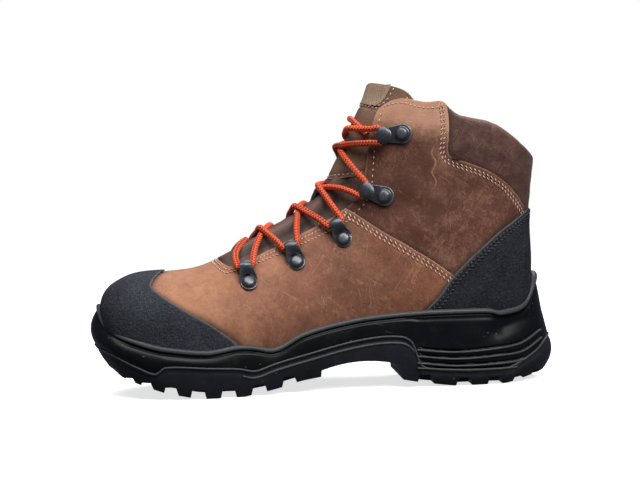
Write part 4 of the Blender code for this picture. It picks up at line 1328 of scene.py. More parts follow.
@dataclass
class Upper:
    """The leather upper: lower panel, shaft, padded collar and lining, in overlapping layers."""

    finishes: Finishes
    seams: SeamBook
    lower_layer: float = 0.25
    shaft_layer: float = -0.6
    collar_layer: float = -1.5
    lining_layer: float = -2.9
    leather: float = 1.7
    thread_rise: float = 0.05
    facing_back: Pair = (1.9, 3.8)
    collar_roll: float = 3.4
    bottom_turn: float = -0.9

    def __post_init__(self) -> None:
        """Finds where the quarter seam leaves the facing."""
        self.corner = float(FORM.locate(QUARTER_SEAM[:1])[0, 0])

    def facing(self, side: int, start: float, end: float, back: float = 0.0, count: int = 90) -> Array:
        """Places and turns along the facing's edge, or along a line behind it."""
        share = np.linspace(0, 1, count)
        low = start <= FORM.throat_start
        first = FORM.throat_start - back / FORM.place_length if low else start
        place = first + (end - first) * (share ** 2 if low else share)
        return np.stack([place, FORM.facing_turn(place, side, back)], axis=1)

    def quarter_lines(self, side: int) -> tuple[FormLine, FormLine, FormLine, FormLine]:
        """Bottom, top, left and right lines of the lower panel behind the throat's lower end."""
        top = FormLine(self.facing(side, FORM.throat_start, self.corner), side)
        seam = FORM.locate(beside(QUARTER_SEAM, 0.0)[::-1])
        seam[-1] = top.knots[-1]
        foot = FORM.locate(((76, 36.5), (86, 50)))
        right = FormLine(np.concatenate([foot, seam]), side)
        left = FormLine(np.array(((FORM.throat_start, self.bottom_turn), (FORM.throat_start, 1.0))), side)
        bottom = FormLine(np.array((left.knots[0], right.knots[0])), side)
        return bottom, top, left, right

    def add_panel(self, shell: Shell, params: Array, side: int, out: Array, *lines: Sequence[Array]) -> None:
        """Adds one side of a panel.

        Args:
            shell: the panel's shell.
            params: places and turns.
            side: -1 or 1.
            out: how far it stands off the form.
            lines: its edges, roofs and pulls, as for border_fields.
        """
        place, turn = np.moveaxis(params, -1, 0)
        fields = border_fields(FORM.offset(place, turn, side, out), *lines)
        shell.add_sheet(place, turn, side, out, fields)

    def finish_panel(self, shell: Shell, name: str, weld: float, material: Material) -> None:
        """Makes a panel's piece with its cut edge; the weld is that of Shell.piece."""
        piece = shell.piece(name, weld, material, self.finishes.cut)
        give_edge(piece, self.leather, 0.5)
        hand_over(piece, "leather", "upper")

    def lower_panel(self) -> None:
        """Vamp and quarters, cut in one: over the shaft, under both guards."""
        shell, columns, share = Shell(), np.linspace(0, 1, 76), np.linspace(0, 1, 112)
        places = np.concatenate([np.linspace(0, 1, 16)[:-1] ** 1.5, np.linspace(1, FORM.throat_start, 80)])
        sewn = self.lower_layer + self.thread_rise
        for side in SIDES:
            bottom, top, left, right = self.quarter_lines(side)
            rows = [self.seams.on_form(FORM.locate(beside(QUARTER_SEAM, away))[3:], side, sewn, Thread.TAN, pitch=3.5,
                                       length=3.1, width=0.95, slant=-32) for away in (2.5, 4.7)]
            for back, slant in zip(self.facing_back, (30, -30)):
                run = self.facing(side, FORM.throat_start, self.corner - 0.12, back, 160)
                rows.append(self.seams.on_form(run, side, sewn, Thread.TAN, pitch=2.5, length=2.2, slant=slant))
            edges = [dense(on_form(top.knots, side)), traced(QUARTER_SEAM, side)]
            # the guards' edges lie over the panel: painted shade along them
            guards = [traced(TOE_CAP_LINE, side), traced(COUNTER_LINE, side)]
            pulls = [on_form(FORM.locate(spot), side) for spot in LOWER_PULLS]
            vamp = np.stack(np.meshgrid(places, left.at(columns)[:, 1], indexing="ij"), axis=-1)
            quarter = coons(bottom, top, left, right, 0.35 * share + 0.65 * share ** 1.6, columns)
            for params in (vamp, quarter):
                out = leather_out(params, side, self.lower_layer, rows)
                self.add_panel(shell, params, side, out, edges, guards, pulls)
        self.finish_panel(shell, "lower_panel", 0.02, self.finishes.lower)

    def shaft_lines(self, side: int) -> tuple[FormLine, FormLine, FormLine, FormLine]:
        """Bottom, top, front and rear lines of the shaft panel."""
        front = FormLine(self.facing(side, self.corner - 0.5, 15.3), side)
        rear = FormLine(FORM.locate(beside(COLLAR_SEAM, 0.0)[::-1]), side)
        turns = np.linspace(front.knots[-1, 1], rear.knots[-1, 1], 40)
        rim = np.stack([rim_place(turns), turns], axis=1)
        rim[0], rim[-1] = front.knots[-1], rear.knots[-1]
        top = FormLine(rim, side)
        under = FORM.locate(((27, 100.5), (46, 88), (66, 76), (84, 65.5), (97, 74), (111, 85), (124, 94.5)))
        bottom = FormLine(np.concatenate([front.knots[:1], under, rear.knots[:1]]), side)
        return bottom, top, front, rear

    def shaft_out(self, place: Array) -> Array:
        """The shaft's layer, leaning in towards its top."""
        return self.shaft_layer - 1.2 * soft_step(14.6, 16.2, place)

    def shaft_panel(self) -> None:
        """The two shaft panels: over the collar, under the lower panel and the heel guard."""
        shell = Shell()
        for side in SIDES:
            bottom, top, front, rear = self.shaft_lines(side)
            sewn = []
            for away in (2.9, 4.9):
                line = FORM.locate(beside(COLLAR_SEAM, away, 110))
                line = line[line[:, 0] < rim_place(line[:, 1]) - 0.08]
                sewn.append((line, {"pitch": 3.1, "length": 2.6, "width": 0.85, "slant": -34}))
            run = self.facing(side, self.corner + 0.15, 15.35, 2.8)
            turns = np.linspace(run[-1, 1], rear.knots[-1, 1] + 0.05, 60)
            hem = np.stack([rim_place(turns) - 0.24, turns], axis=1)
            sewn += [(run, {"pitch": 3.9, "length": 2.2}), (hem, {"pitch": 2.9, "length": 2.2})]
            rows = [self.seams.on_form(line, side, self.shaft_out(line[:, 0]) + self.thread_rise, Thread.TAN, **sizes)
                    for line, sizes in sewn]
            edges = [dense(on_form(line.knots, side)) for line in (front, top, rear)]
            # painted shade along the edges of the lower panel and the heel counter, which lie over the shaft
            roofs = [traced(QUARTER_SEAM, side), traced(COUNTER_LINE, side)]
            pulls = [on_form(FORM.locate(spot), side) for spot in SHAFT_PULLS]
            params = coons(bottom, top, front, rear, np.linspace(0, 1, 104), np.linspace(0, 1, 78))
            out = leather_out(params, side, 0.0, rows) + self.shaft_out(params[..., 0])
            self.add_panel(shell, params, side, out, edges, roofs, pulls)
        self.finish_panel(shell, "shaft_panel", 0.004, self.finishes.shaft)

    def collar_panel(self) -> None:
        """The padded collar round the ankle, rolled over the top and down inside."""
        shell = Shell()
        for side in SIDES:
            front = FormLine(FORM.locate(beside(COLLAR_SEAM, 6.0, 90)[::-1]), side)
            turns = np.linspace(front.knots[-1, 1], -1, 60)
            rim_line = np.stack([rim_place(turns) - np.interp(turns, (-1, 0, 0.1), (0.05, 0.11, 0.05)), turns], axis=1)
            keep = front.knots[:, 0] < rim_line[0, 0]
            front = FormLine(np.concatenate([front.knots[keep], rim_line[:1]]), side)
            back = FormLine(np.array(((13.9, -1.0), rim_line[-1])), side)
            top = FormLine(rim_line, side)
            bottom = FormLine(np.array((front.knots[0], back.knots[0])), side)
            u, v = np.linspace(0, 1, 70), np.linspace(0, 1, 56)
            params = coons(bottom, top, front, back, u, v)
            seam, hidden = (traced(COLLAR_SEAM, side, away) for away in (0.0, 6.0))
            points = FORM.point(params[..., 0], params[..., 1], side)
            past = distance_to(points, hidden)
            pad = 2.6 * soft_step(6, 22, past) * soft_step(-0.1, 0.35, v)[None] - 0.9 * soft_step(7.5, 5, past)
            low = bump(params[..., 1] + 1, 0.028)
            out = leather_out(params, side, self.collar_layer, (), 1.6) + pad - 0.5 * low
            normal = FORM.normal(params[..., 0], params[..., 1], side)
            outer = points + normal * out[..., None]
            # over the top in a half round, then down inside
            rim, rim_out = outer[:, -1], normal[:, -1]
            rise = unit(outer[:, -1] - outer[:, -3])
            thick = 2 * self.collar_roll * soft_step(-0.2, 0.35, u) + 0.8
            angles = np.linspace(0, math.pi, 15)[1:]
            roll = np.stack([rim - rim_out * (thick / 2 * (1 - math.cos(a)))[:, None]
                             + rise * (thick * 0.36 * math.sin(a))[:, None] for a in angles], axis=1)
            down = np.linspace(0, 1, 24)[1:]
            inside_turn = np.broadcast_to(params[:, -1:, 1], (70, len(down)))
            inside_place = params[:, -1:, 0] * (1 - down) + 13.4 * down
            taper = 1 - soft_step(15.2, 13.4, inside_place) * 0.7
            depth = -(thick - 0.8)[:, None] * taper + self.collar_layer - 1.2 - 0.6 * undulation(
                FORM.point(inside_place, inside_turn, side), 26, 3.0) * taper
            inner = FORM.offset(inside_place, inside_turn, side, depth)
            grid = np.concatenate([outer, roll, inner], axis=1)
            facing = np.concatenate([normal, np.repeat(normal[:, -1:], 14, 1), -FORM.normal(
                inside_place, inside_turn, side)], axis=1)
            # painted shade along the collar seam, under the shaft panel's edge
            fields = border_fields(grid, (), (seam,), ())
            fields["edge"] = 0.35 * bump(distance_to(grid, rim + rise * 1.2), 2.0)
            shell.add_grid(grid, fields, facing)
        piece = shell.piece("collar_panel", 0.02, self.finishes.collar)
        hand_over(piece, "leather", "upper")

    def lining_cloth(self) -> None:
        """The cloth lining, from the toe to the top edge, which it turns over."""
        shell = Shell()
        # shares of the way from the straight part up to the top edge, which the cloth turns over
        start, rise = 15.2, np.array((0.3, 0.6, 0.85, 0.97, 1.0, 1.0, 1.0))[:, None]
        places = np.concatenate([np.linspace(0.6, 6, 24)[:-1], 6 + np.linspace(0, 1, 30)[:-1] ** 2 * 2,
                                 np.linspace(8, start, 50)])
        for side in SIDES:
            last = np.where(places < 6, 1.0, FORM.facing_turn(np.maximum(places, 6), side, 0.35))
            turn = -1 + (last + 1)[:, None] * np.linspace(0, 1, 60)[None]
            place = np.broadcast_to(places[:, None], turn.shape)
            out = self.lining_layer - 0.25 * undulation(FORM.point(place, turn, side), 30, 5.0)
            edge = np.minimum(rim_place(turn[-1]) - np.interp(turn[-1], (0, 0.12), (0.25, 0.03)), 15.97)
            over = start + (edge - start) * rise
            over_out = np.array((-3.0, -3.3, -3.6, -3.6, -3.2, -2.7, -2.3))[:, None] + 0 * over
            place = np.concatenate([place, over])
            turn = np.concatenate([turn, np.broadcast_to(turn[-1], over.shape)])
            # painted shade: the lining is drawn darker towards the toe, deeper inside the boot
            shell.add_grid(FORM.offset(place, turn, side, np.concatenate([out, over_out])),
                           {"shade": soft_step(14, 9, place) * 0.6}, -FORM.normal(place, turn, side))
        hand_over(shell.piece("lining_cloth", 0.02, self.finishes.lining), "lining", "upper")

    def build(self) -> None:
        """Makes every piece of the upper."""
        self.lower_panel()
        self.shaft_panel()
        self.collar_panel()
        self.lining_cloth()


@dataclass
class Guards:
    """The black toe cap and heel counter, sewn over the leather."""

    finishes: Finishes
    seams: SeamBook
    layer: float = 1.65
    thickness: float = 1.5

    def add(self, shell: Shell, place: Array, turn: Array, side: int, out: Array) -> None:
        """Adds one side of a guard, rubbed along its last column; the arguments are those of Shell.add_sheet."""
        grid = FORM.offset(place, turn, side, out)
        shell.add_sheet(place, turn, side, out, border_fields(grid, (dense(grid[:, -1]),), (), ()))

    def finish(self, name: str, shell: Shell) -> None:
        """Makes a guard's piece and hands it over."""
        guard = shell.piece(name, 0.02, self.finishes.guard, self.finishes.guard_cut)
        give_edge(guard, self.thickness, 0.45)
        hand_over(guard, "guard", name)

    def toe_cap(self) -> None:
        """The toe cap, from the tip back to its pointed edge."""
        shell, share = Shell(), np.linspace(0, 1, 74)
        line = np.concatenate([((3.96, 1.0), (3.86, 0.9)), FORM.locate(rounded_line(TOE_CAP_LINE, 100))])
        line = line[np.argsort(-line[:, 1])]
        turn = np.concatenate([np.linspace(1, 0.55, 60)[:-1], np.linspace(0.55, -0.95, 56)])
        place = np.interp(-turn, -line[:, 1], line[:, 0])[:, None] * (0.5 * share + 0.5 * share ** 1.7)
        turn = np.broadcast_to(turn[:, None], place.shape)
        for side in SIDES:
            out = self.layer + 0.12 * undulation(FORM.point(place, turn, side), 22, 4.0)
            self.add(shell, place, turn, side, out + 2.4 * soft_step(2.6, 0.3, place))
        self.finish("toe_cap", shell)

    def heel_counter(self) -> None:
        """The heel counter, round the back, with two rows of black stitches."""
        shell, end = Shell(), 14.45
        line = np.concatenate([FORM.locate(rounded_line(COUNTER_LINE, 120)), ((end, -1.0),)])
        line = line[np.argsort(line[:, 0])]
        place = np.linspace(8.7, end, 110)
        turn = -1 + (np.interp(place, line[:, 0], line[:, 1]) + 1)[:, None] * np.linspace(0, 1, 64)
        place = np.broadcast_to(place[:, None], turn.shape)
        for side in SIDES:
            points = FORM.point(place, turn, side)
            out = self.layer + 0.15 * undulation(points, 24, 6.0)
            for away, slant in ((2.4, 28), (4.8, -28)):
                run = FORM.locate(beside(COUNTER_LINE, away, 120)[8:-5])
                row = self.seams.on_form(run, side, self.layer + 0.1, Thread.BLACK, pitch=2.9, length=2.5,
                                         width=1.15, slant=slant)
                out = out - 0.3 * bump(distance_to(points, row), 1.6)
            self.add(shell, place, turn, side, out)
        self.finish("heel_counter", shell)

    def build(self) -> None:
        """Makes both guards."""
        self.toe_cap()
        self.heel_counter()


@dataclass(frozen=True)
class SoleOutline:
    """The sole's outline, read by its angle: 0 at the toe, pi at the heel."""

    columns: tuple[str, ...] = ("x", "centre", "inner", "outer", "bottom", "part", "plate", "rim", "tread_in",
                                "side_in", "part_in", "mid_in", "rim_in")
    half: float = float(SOLE[-1, 0])

    def angle_at(self, x: Array | float) -> Array:
        """The outline's angles at places along the sole."""
        return np.arccos(np.clip(-np.asarray(x, float) / self.half, -1, 1))

    def rows(self, angle: Array) -> Fields:
        """The sole's numbers at each angle, by name."""
        ends = np.array([float(name in ("inner", "outer")) for name in self.columns])
        read = smooth_through(self.angle_at(SOLE[:, 0]), SOLE, angle, ends)
        row = dict(zip(self.columns, np.moveaxis(read, -1, 0)))
        row["x"] = -self.half * np.cos(angle)
        row["bottom"] = np.maximum(row["bottom"], 0)
        return row

    def points(self, angle: Array, side: int) -> Array:
        """Points of the widest outline, in plan."""
        row = self.rows(angle)
        half = np.maximum(row["inner"] if side < 0 else row["outer"], 0)
        return np.stack([row["x"], row["centre"] + side * half], axis=-1)

    def outward(self, angle: Array, side: int) -> Array:
        """The outline's outward directions, in plan."""
        step = 0.03
        angle = np.asarray(angle, float)
        along = self.points(np.minimum(angle + step, math.pi), side) - self.points(np.maximum(angle - step, 0), side)
        out = unit(np.stack([-along[..., 1], along[..., 0]], axis=-1) * side)
        toe, heel = soft_step(step * 2, 0, angle), soft_step(math.pi - step * 2, math.pi, angle)
        out = out * (1 - toe - heel)[..., None]
        out[..., 0] += heel - toe
        return unit(out)

    def loop(self, steps: int) -> tuple[Array, Array, Fields]:
        """The whole outline, inner side first.

        Args:
            steps: steps along each side.

        Returns:
            Points and outward directions in plan, and the rows.
        """
        angle = np.linspace(0, math.pi, steps + 1)
        round_angles = np.concatenate([angle, angle[-2:0:-1]])
        points = np.concatenate([self.points(angle, -1), self.points(angle[-2:0:-1], 1)])
        outward = np.concatenate([self.outward(angle, -1), self.outward(angle[-2:0:-1], 1)])
        return points, outward, self.rows(round_angles)

    def bottom_at(self, x: Array | float) -> Array:
        """Height of the tread's tips at places along the sole."""
        return self.rows(self.angle_at(x))["bottom"]


OUTLINE = SoleOutline()


def wall_grid(steps: int, stations: Sequence[Station]) -> tuple[Array, Array, Fields]:
    """A wall round the sole, as columns of stations.

    Args:
        steps: steps along each side.
        stations: functions of the rows that give each station's inset and height.

    Returns:
        The grid, its outward directions and the rows.
    """
    plan, outward, rows = OUTLINE.loop(steps)
    columns = []
    for inset, height in stations:
        spot = plan - outward * np.broadcast_to(inset(rows), plan.shape[:1])[:, None]
        columns.append(np.concatenate([spot, np.broadcast_to(height(rows), plan.shape[:1])[:, None]], axis=1))
    grid = np.stack(columns, axis=1)
    facing = np.concatenate([outward, np.zeros((len(outward), 1))], axis=1)
    return grid, np.repeat(facing[:, None], grid.shape[1], axis=1), rows


def part_height(rows: Fields) -> Array:
    """Height of the line where midsole and outsole part."""
    return np.maximum(rows["part"], rows["plate"] + 0.6)


@dataclass
class Midsole:
    """The glossy moulded midsole: a wall with a bead along its rim, a scoop and heel ribs."""

    finishes: Finishes
    steps: int = 190
    bead: float = 2.1
    toe_bead: float = 1.7
    heel_bead: float = 2.7
    rib_start: float = 58.5
    rib_keys: tuple[float, ...] = (58.0, 84.0, 113.0, 130.0, 146.0)
    rib_depth: float = 1.1
    # where each rib ends, and its heights at the keys
    ribs: tuple[tuple[float, ...], ...] = (
        (147.0, 24.7, 22.2, 23.5, 25.8, 32.8), (146.0, 20.5, 17.8, 18.8, 20.4, 27.8),
        (131.0, 16.1, 13.3, 13.6, 14.9, 19.5), (125.0, 12.8, 10.7, 10.3, 11.0, 14.0),
    )
    scoop: Triple = (119.0, 37.5, 3.0)

    def bead_at(self, x: Array) -> Array:
        """Radius of the rim's bead, slim at the toe and thick round the heel."""
        toe, heel = soft_step(-136, -150, x), soft_step(112, 138, x)
        return self.bead + (self.toe_bead - self.bead) * toe + (self.heel_bead - self.bead) * heel

    def rib_level(self, rib: tuple[float, ...], x: Array) -> Array:
        """Heights of a rib along the sole."""
        return smooth_through(self.rib_keys, rib[1:], np.clip(x, self.rib_keys[0], self.rib_keys[-1]))

    def wall_run(self, rows: Fields) -> tuple[Array, Array]:
        """Heights where the plain wall starts and ends."""
        return part_height(rows) + 0.25, rows["rim"] - 2.2 * self.bead_at(rows["x"])

    def inset(self, rows: Fields, height: Array) -> Array:
        """How far in from the outline the wall stands at a height.

        Args:
            rows: the sole's rows.
            height: heights there.

        Returns:
            The insets.
        """
        x, (low, high) = rows["x"], self.wall_run(rows)
        share = np.clip((height - low) / (high - low), 0, 1)
        bow = rows["part_in"] * (1 - share) * (1 - 2 * share) + 4 * rows["mid_in"] * share * (1 - share)
        wall = bow + rows["rim_in"] * share * (2 * share - 1)
        for rib in self.ribs:
            gap = height - self.rib_level(rib, x)
            kept = soft_step(self.rib_start, self.rib_start + 3, x) * soft_step(rib[0], rib[0] - 4, x)
            wall = wall + kept * self.rib_depth * bump(gap - 1.1, 0.7)
        wide = np.where(x > self.scoop[0], 22, 9)
        climb = height - self.scoop[1] - 0.25 * (x - self.scoop[0])
        scoop = self.scoop[2] * bump(x - self.scoop[0], wide) * bump(climb, 5.5)
        under_bead = 0.5 * soft_step(-145, -125, x) * bump(share - 0.97, 0.05)
        return wall + scoop + under_bead

    def stations(self) -> list[Station]:
        """Insets and heights of the wall, from the parting line up over the bead and in."""
        levels: list[Station] = [
            (lambda r: r["part_in"] + 5.0, lambda r: part_height(r) + 0.2),
            (lambda r: r["part_in"] + 0.9, lambda r: part_height(r) + 0.2),
        ]
        for share in np.linspace(0, 1, 96):
            def height(r: Fields, share: float = share) -> Array:
                """Heights at a share of the wall."""
                low, high = self.wall_run(r)
                return low + share * (high - low)

            levels.append((lambda r, height=height: self.inset(r, height(r)), height))
        for angle in np.linspace(-70, 200, 14):
            a = math.radians(angle)
            levels.append((
                lambda r, a=a: r["rim_in"] + self.bead_at(r["x"]) * (0.75 - math.cos(a)) - 0.25,
                lambda r, a=a: r["rim"] + self.bead_at(r["x"]) * (math.sin(a) - 1),
            ))
        levels.append((lambda r: r["rim_in"] + 5.0, lambda r: r["rim"] - 3.6))
        levels.append((lambda r: r["rim_in"] + 9.0, lambda r: r["rim"] - 9.0))
        return levels

    def build(self) -> None:
        """Makes the midsole."""
        shell = Shell()
        grid, outward, _ = wall_grid(self.steps, self.stations())
        edge = np.zeros(grid.shape[:2])
        # painted highlight along the bead's outer top
        edge[:, -13:-6] = 0.55
        shell.add_grid(grid, {"edge": edge}, outward, round_u=True)
        piece = shell.piece("midsole", 0.002, self.finishes.midsole)
        piece.data.set_sharp_from_angle(angle=math.radians(50))
        hand_over(piece, "midsole", "midsole")


@dataclass(frozen=True)
class Notch:
    """A gap between two lugs."""

    x: float
    width: float
    depth: float


@dataclass
class Outsole:
    """The lugged rubber outsole, with an arch, edge notches, channels and a raised rim line."""

    finishes: Finishes
    steps: int = 130
    far: float = 90.0
    below: float = -8.0
    reach: float = 20.0
    flare: float = 1.4
    channel_y: float = 16.5
    channel_width: float = 4.5
    channel_depth: float = 3.5
    arch_peak: Pair = (24.0, 18.6)
    arch_curve: float = 0.0058
    arch_run: Pair = (-4.5, 49.0)
    edge_notches: tuple[Notch, ...] = (
        Notch(-139, 3.5, 2.6), Notch(-129, 4.5, 3), Notch(-118, 5.5, 3.5), Notch(-102.5, 6.5, 4.5),
        Notch(-85, 7.5, 5.5), Notch(-65.5, 7.5, 5.5), Notch(-45.5, 7.5, 5.5), Notch(-25.5, 7, 5.5), Notch(64, 8, 5.5),
        Notch(89.3, 8, 5.5), Notch(110, 7.5, 5), Notch(126.5, 5, 3.5), Notch(140, 4.5, 3),
    )
    centre_notches: tuple[Notch, ...] = (
        Notch(-110, 5, 4), Notch(-93, 5, 4), Notch(-75, 5, 4), Notch(-55, 5, 4), Notch(-35, 5, 4),
        Notch(77, 6, 4), Notch(100, 6, 4),
    )

    def inset(self, rows: Fields, height: Array) -> Array:
        """How far in from the outline the wall stands at a height.

        Args:
            rows: the sole's rows.
            height: heights there.

        Returns:
            The insets.
        """
        top = part_height(rows)
        share = np.clip((height - rows["bottom"]) / (top - 0.1 - rows["bottom"]), 0, 1)
        bow = rows["tread_in"] * (1 - share) * (1 - 2 * share) + 4 * rows["side_in"] * share * (1 - share)
        hollow = 0.5 * bump(top - height - 2.6, 1.1)
        arch = soft_step(-60, -40, rows["x"]) * soft_step(60, 54, rows["x"])
        return bow + rows["part_in"] * share * (2 * share - 1) + hollow * (0.4 + 0.6 * arch)

    def stations(self) -> list[Station]:
        """Insets and heights of the wall, from the tread's edge up to the parting line and in."""
        def height(share: float) -> Callable:
            """Heights at a share of the wall."""
            return lambda r: r["bottom"] + share * (part_height(r) - 0.1 - r["bottom"])

        def inset(share: float) -> Callable:
            """Insets at a share of the wall."""
            return lambda r: self.inset(r, height(share)(r))

        levels = [(inset(share), height(share)) for share in 1 - np.linspace(1, 0, 34) ** 1.5]
        levels.append((lambda r: r["part_in"] + 2.5, lambda r: part_height(r)))
        levels.append((lambda r: r["part_in"] + 3.0, lambda r: np.minimum(r["plate"], part_height(r) - 0.3)))
        return levels

    def body(self) -> Piece:
        """The outsole before its arch and notches are cut."""
        grid, outward, _ = wall_grid(self.steps, self.stations())
        shell = Shell()
        shell.add_grid(grid, None, outward, round_u=True)
        # strips across the lowest and highest loop
        for column, up in ((0, -1.0), (grid.shape[1] - 1, 1.0)):
            loop = grid[:, column]
            near, away = loop[:self.steps + 1], np.concatenate([loop[:1], loop[:self.steps - 1:-1]])
            across = np.linspace(0, 1, 9)[None, :, None]
            strip = near[:, None] * (1 - across) + away[:, None] * across
            shell.add_grid(strip, None, np.broadcast_to((0.0, 0.0, up), strip.shape))
        piece = shell.piece("outsole", 0.01, self.finishes.outsole)
        with editing(piece.data) as work:
            bmesh.ops.recalc_face_normals(work, faces=work.faces)
        return piece

    def prism(self, work: bmesh.types.BMesh, outline: Line, start: float, end: float) -> None:
        """Adds a prism with a side-view outline between two places across the sole."""
        rings = [[work.verts.new((x * MM, y * MM, z * MM)) for x, z in outline] for y in (start, end)]
        work.faces.new(rings[0])
        work.faces.new(rings[1][::-1])
        for i in range(len(outline)):
            j = (i + 1) % len(outline)
            work.faces.new((rings[0][i], rings[1][i], rings[1][j], rings[0][j]))

    def notch_outline(self, notch: Notch) -> Line:
        """Side outline of a notch, wider at the lugs' tips."""
        tip_height = float(OUTLINE.bottom_at(notch.x))
        root, tip, half = tip_height + notch.depth, tip_height - 6, notch.width / 2
        wide = half + self.flare * (root - tip) / notch.depth
        x = notch.x
        return ((x - half, root), (x + half, root), (x + wide, tip), (x - wide, tip))

    def cutters(self) -> list[bmesh.types.BMesh]:
        """Meshes of what is cut away: the arch, edge notches, channels, centre notches and sipes."""
        arch, edges, channels, middles, sipes = (bmesh.new() for _ in range(5))
        xs = np.linspace(*self.arch_run, 25)
        curve = [(x, self.arch_peak[1] - self.arch_curve * (x - self.arch_peak[0]) ** 2) for x in xs]
        self.prism(arch, curve + [(self.arch_run[1] + 1, self.below), (self.arch_run[0] - 2.5, self.below)],
                   -self.far, self.far)
        for notch in self.edge_notches:
            for side in SIDES:
                self.prism(edges, self.notch_outline(notch), side * self.reach, side * self.far)
        for run in ((-117, -12), (54, 121)):
            xs = np.linspace(*run, 40)
            low = OUTLINE.bottom_at(xs)
            outline = [(x, z + self.channel_depth) for x, z in zip(xs, low)]
            outline += [(x, z - 6) for x, z in zip(xs[::-1], low[::-1])]
            for side in SIDES:
                start = side * self.channel_y - self.channel_width / 2
                self.prism(channels, outline, start, start + self.channel_width)
        for notch in self.centre_notches:
            self.prism(middles, self.notch_outline(notch), -self.channel_y, self.channel_y)
            x, tip = notch.x + 9, float(OUTLINE.bottom_at(notch.x + 9))
            for y in (-8, 3):
                self.prism(sipes, ((x - 0.5, tip + 1.8), (x + 0.5, tip + 1.8), (x + 0.5, tip - 4), (x - 0.5, tip - 4)),
                           y, y + 5)
        return [arch, edges, channels, middles, sipes]

    def build(self) -> None:
        """Makes the outsole."""
        piece, tools = self.body(), []
        for number, work in enumerate(self.cutters()):
            bmesh.ops.recalc_face_normals(work, faces=work.faces)
            mesh = bpy.data.meshes.new(f"cutter_{number}")
            work.to_mesh(mesh)
            work.free()
            tools.append(new_piece(mesh.name, mesh, self.finishes.outsole))
            add_modifier(piece, "BOOLEAN", operation="DIFFERENCE", solver="EXACT", object=tools[-1])
        apply_modifiers(piece)
        for tool in tools:
            bpy.data.objects.remove(tool)
        merge_points(piece.data, near=0.02, thin=0.02)
        round_corners(piece, width=0.5, segments=2, angle=38, sharp=42)
        hand_over(piece, "outsole", "outsole")


@dataclass
class SoleLines:
    """Fine raised lines: the parting line, the lips of the heel ribs, and the knurled band at the arch; the lines are
    drawn paler as a painted highlight.
    """

    midsole: Midsole
    outsole: Outsole
    seams: SeamBook
    radius: float = 0.7
    drop: float = 4.3
    # how much paler the lines are drawn: a painted highlight
    wear_and_highlight: float = 0.6
    arch_run: Pair = (-56.0, 56.5)

    def path(self, side: int, run: Pair, level: Callable, inset: Callable) -> tuple[Array, Array]:
        """A line along one side of the sole.

        Args:
            side: -1 or 1.
            run: where it starts and ends along the sole.
            level: gives its heights from the sole's rows.
            inset: gives its insets from the rows and heights.

        Returns:
            Its points and the outward directions.
        """
        angle = OUTLINE.angle_at(np.linspace(*run, 160))
        rows = OUTLINE.rows(angle)
        height, out = level(rows), OUTLINE.outward(angle, side)
        plan = OUTLINE.points(angle, side) - out * inset(rows, height)[:, None]
        return np.column_stack([plan, height]), np.column_stack([out, np.zeros(len(out))])

    def tree(self) -> GeometryTree:
        """Makes a round bead of each line."""
        tree = GeometryTree("bead", Radius=0.0006)
        ring = tree.out("GeometryNodeCurvePrimitiveCircle", None, {"Resolution": 10, "Radius": tree.given("Radius")})
        return tree.close(tree.out("GeometryNodeCurveToMesh", None, {
            "Curve": tree.line(), "Profile Curve": ring, "Fill Caps": True}))

    def build(self) -> None:
        """Makes the lines and hands over the knurled band's rows."""
        lines = []
        for side in SIDES:
            lines.append(self.path(side, (-154.4, 154.4), part_height, lambda r, _: r["part_in"] - 0.3)[0])
            for rib in self.midsole.ribs:
                lines.append(self.path(side, (self.midsole.rib_start, rib[0]),
                                       lambda r, rib=rib: self.midsole.rib_level(rib, r["x"]),
                                       lambda r, h: self.midsole.inset(r, h) - 0.5)[0])
            lines.append(self.path(side, self.arch_run, lambda r: part_height(r) - self.drop, self.outsole.inset)[0])
            for lower in (1.9, 2.8):
                row = self.path(side, self.arch_run, lambda r, lower=lower: part_height(r) - lower, self.outsole.inset)
                self.seams.rows.append(Seam(*row, Thread.KNURL, pitch=1.3, length=0.7, width=0.62))
        mesh = line_mesh("sole_lines", lines)
        # painted highlight: every point of the lines is marked paler
        store(mesh, "edge", np.full(len(mesh.vertices), self.wear_and_highlight))
        piece = new_piece(mesh.name, mesh, self.midsole.finishes.midsole)
        self.tree().run(piece, Radius=self.radius * MM)
        hand_over(piece, "midsole")


@dataclass
class Footbed:
    """The loose textile footbed inside."""

    finishes: Finishes
    level: float = 7.9
    thickness: float = 3.6
    clear: float = 4.2

    def build(self) -> None:
        """Makes the footbed, cupped along its edge."""
        place, share = np.linspace(0.9, 11.25, 110), np.linspace(-1, 1, 41)
        row = FORM.rows(place)
        # half width of the form at the footbed's level
        halves = []
        for side in SIDES:
            walls = FORM.point(place[:, None], np.linspace(-1, 0, 200), side)
            halves.append([abs(np.interp(self.level, wall[:, 2] - wall[0, 2], wall[:, 1]) - centre)
                           for wall, centre in zip(walls, row[:, CENTRE])])
        inner, outer = np.array(halves)[..., None] - self.clear
        across = share * np.where(share < 0, inner, outer)
        x = np.broadcast_to(row[:, BASE_X, None], across.shape)
        cup = 2.2 * np.abs(share) ** 5 + 0.25 * undulation(np.stack([x, across, 0 * across], axis=-1), 22, 8.0)
        grid = np.stack([x, row[:, CENTRE, None] + across, row[:, BASE_Z, None] + self.level + cup - 1.0], axis=-1)
        shell = Shell()
        shell.add_grid(grid, None, np.broadcast_to((0.0, 0.0, 1.0), grid.shape))
        piece = shell.piece("footbed", 0.02, self.finishes.footbed)
        give_edge(piece, self.thickness, 0.8, rim_only=False, segments=3)
        hand_over(piece, "lining", "insole")


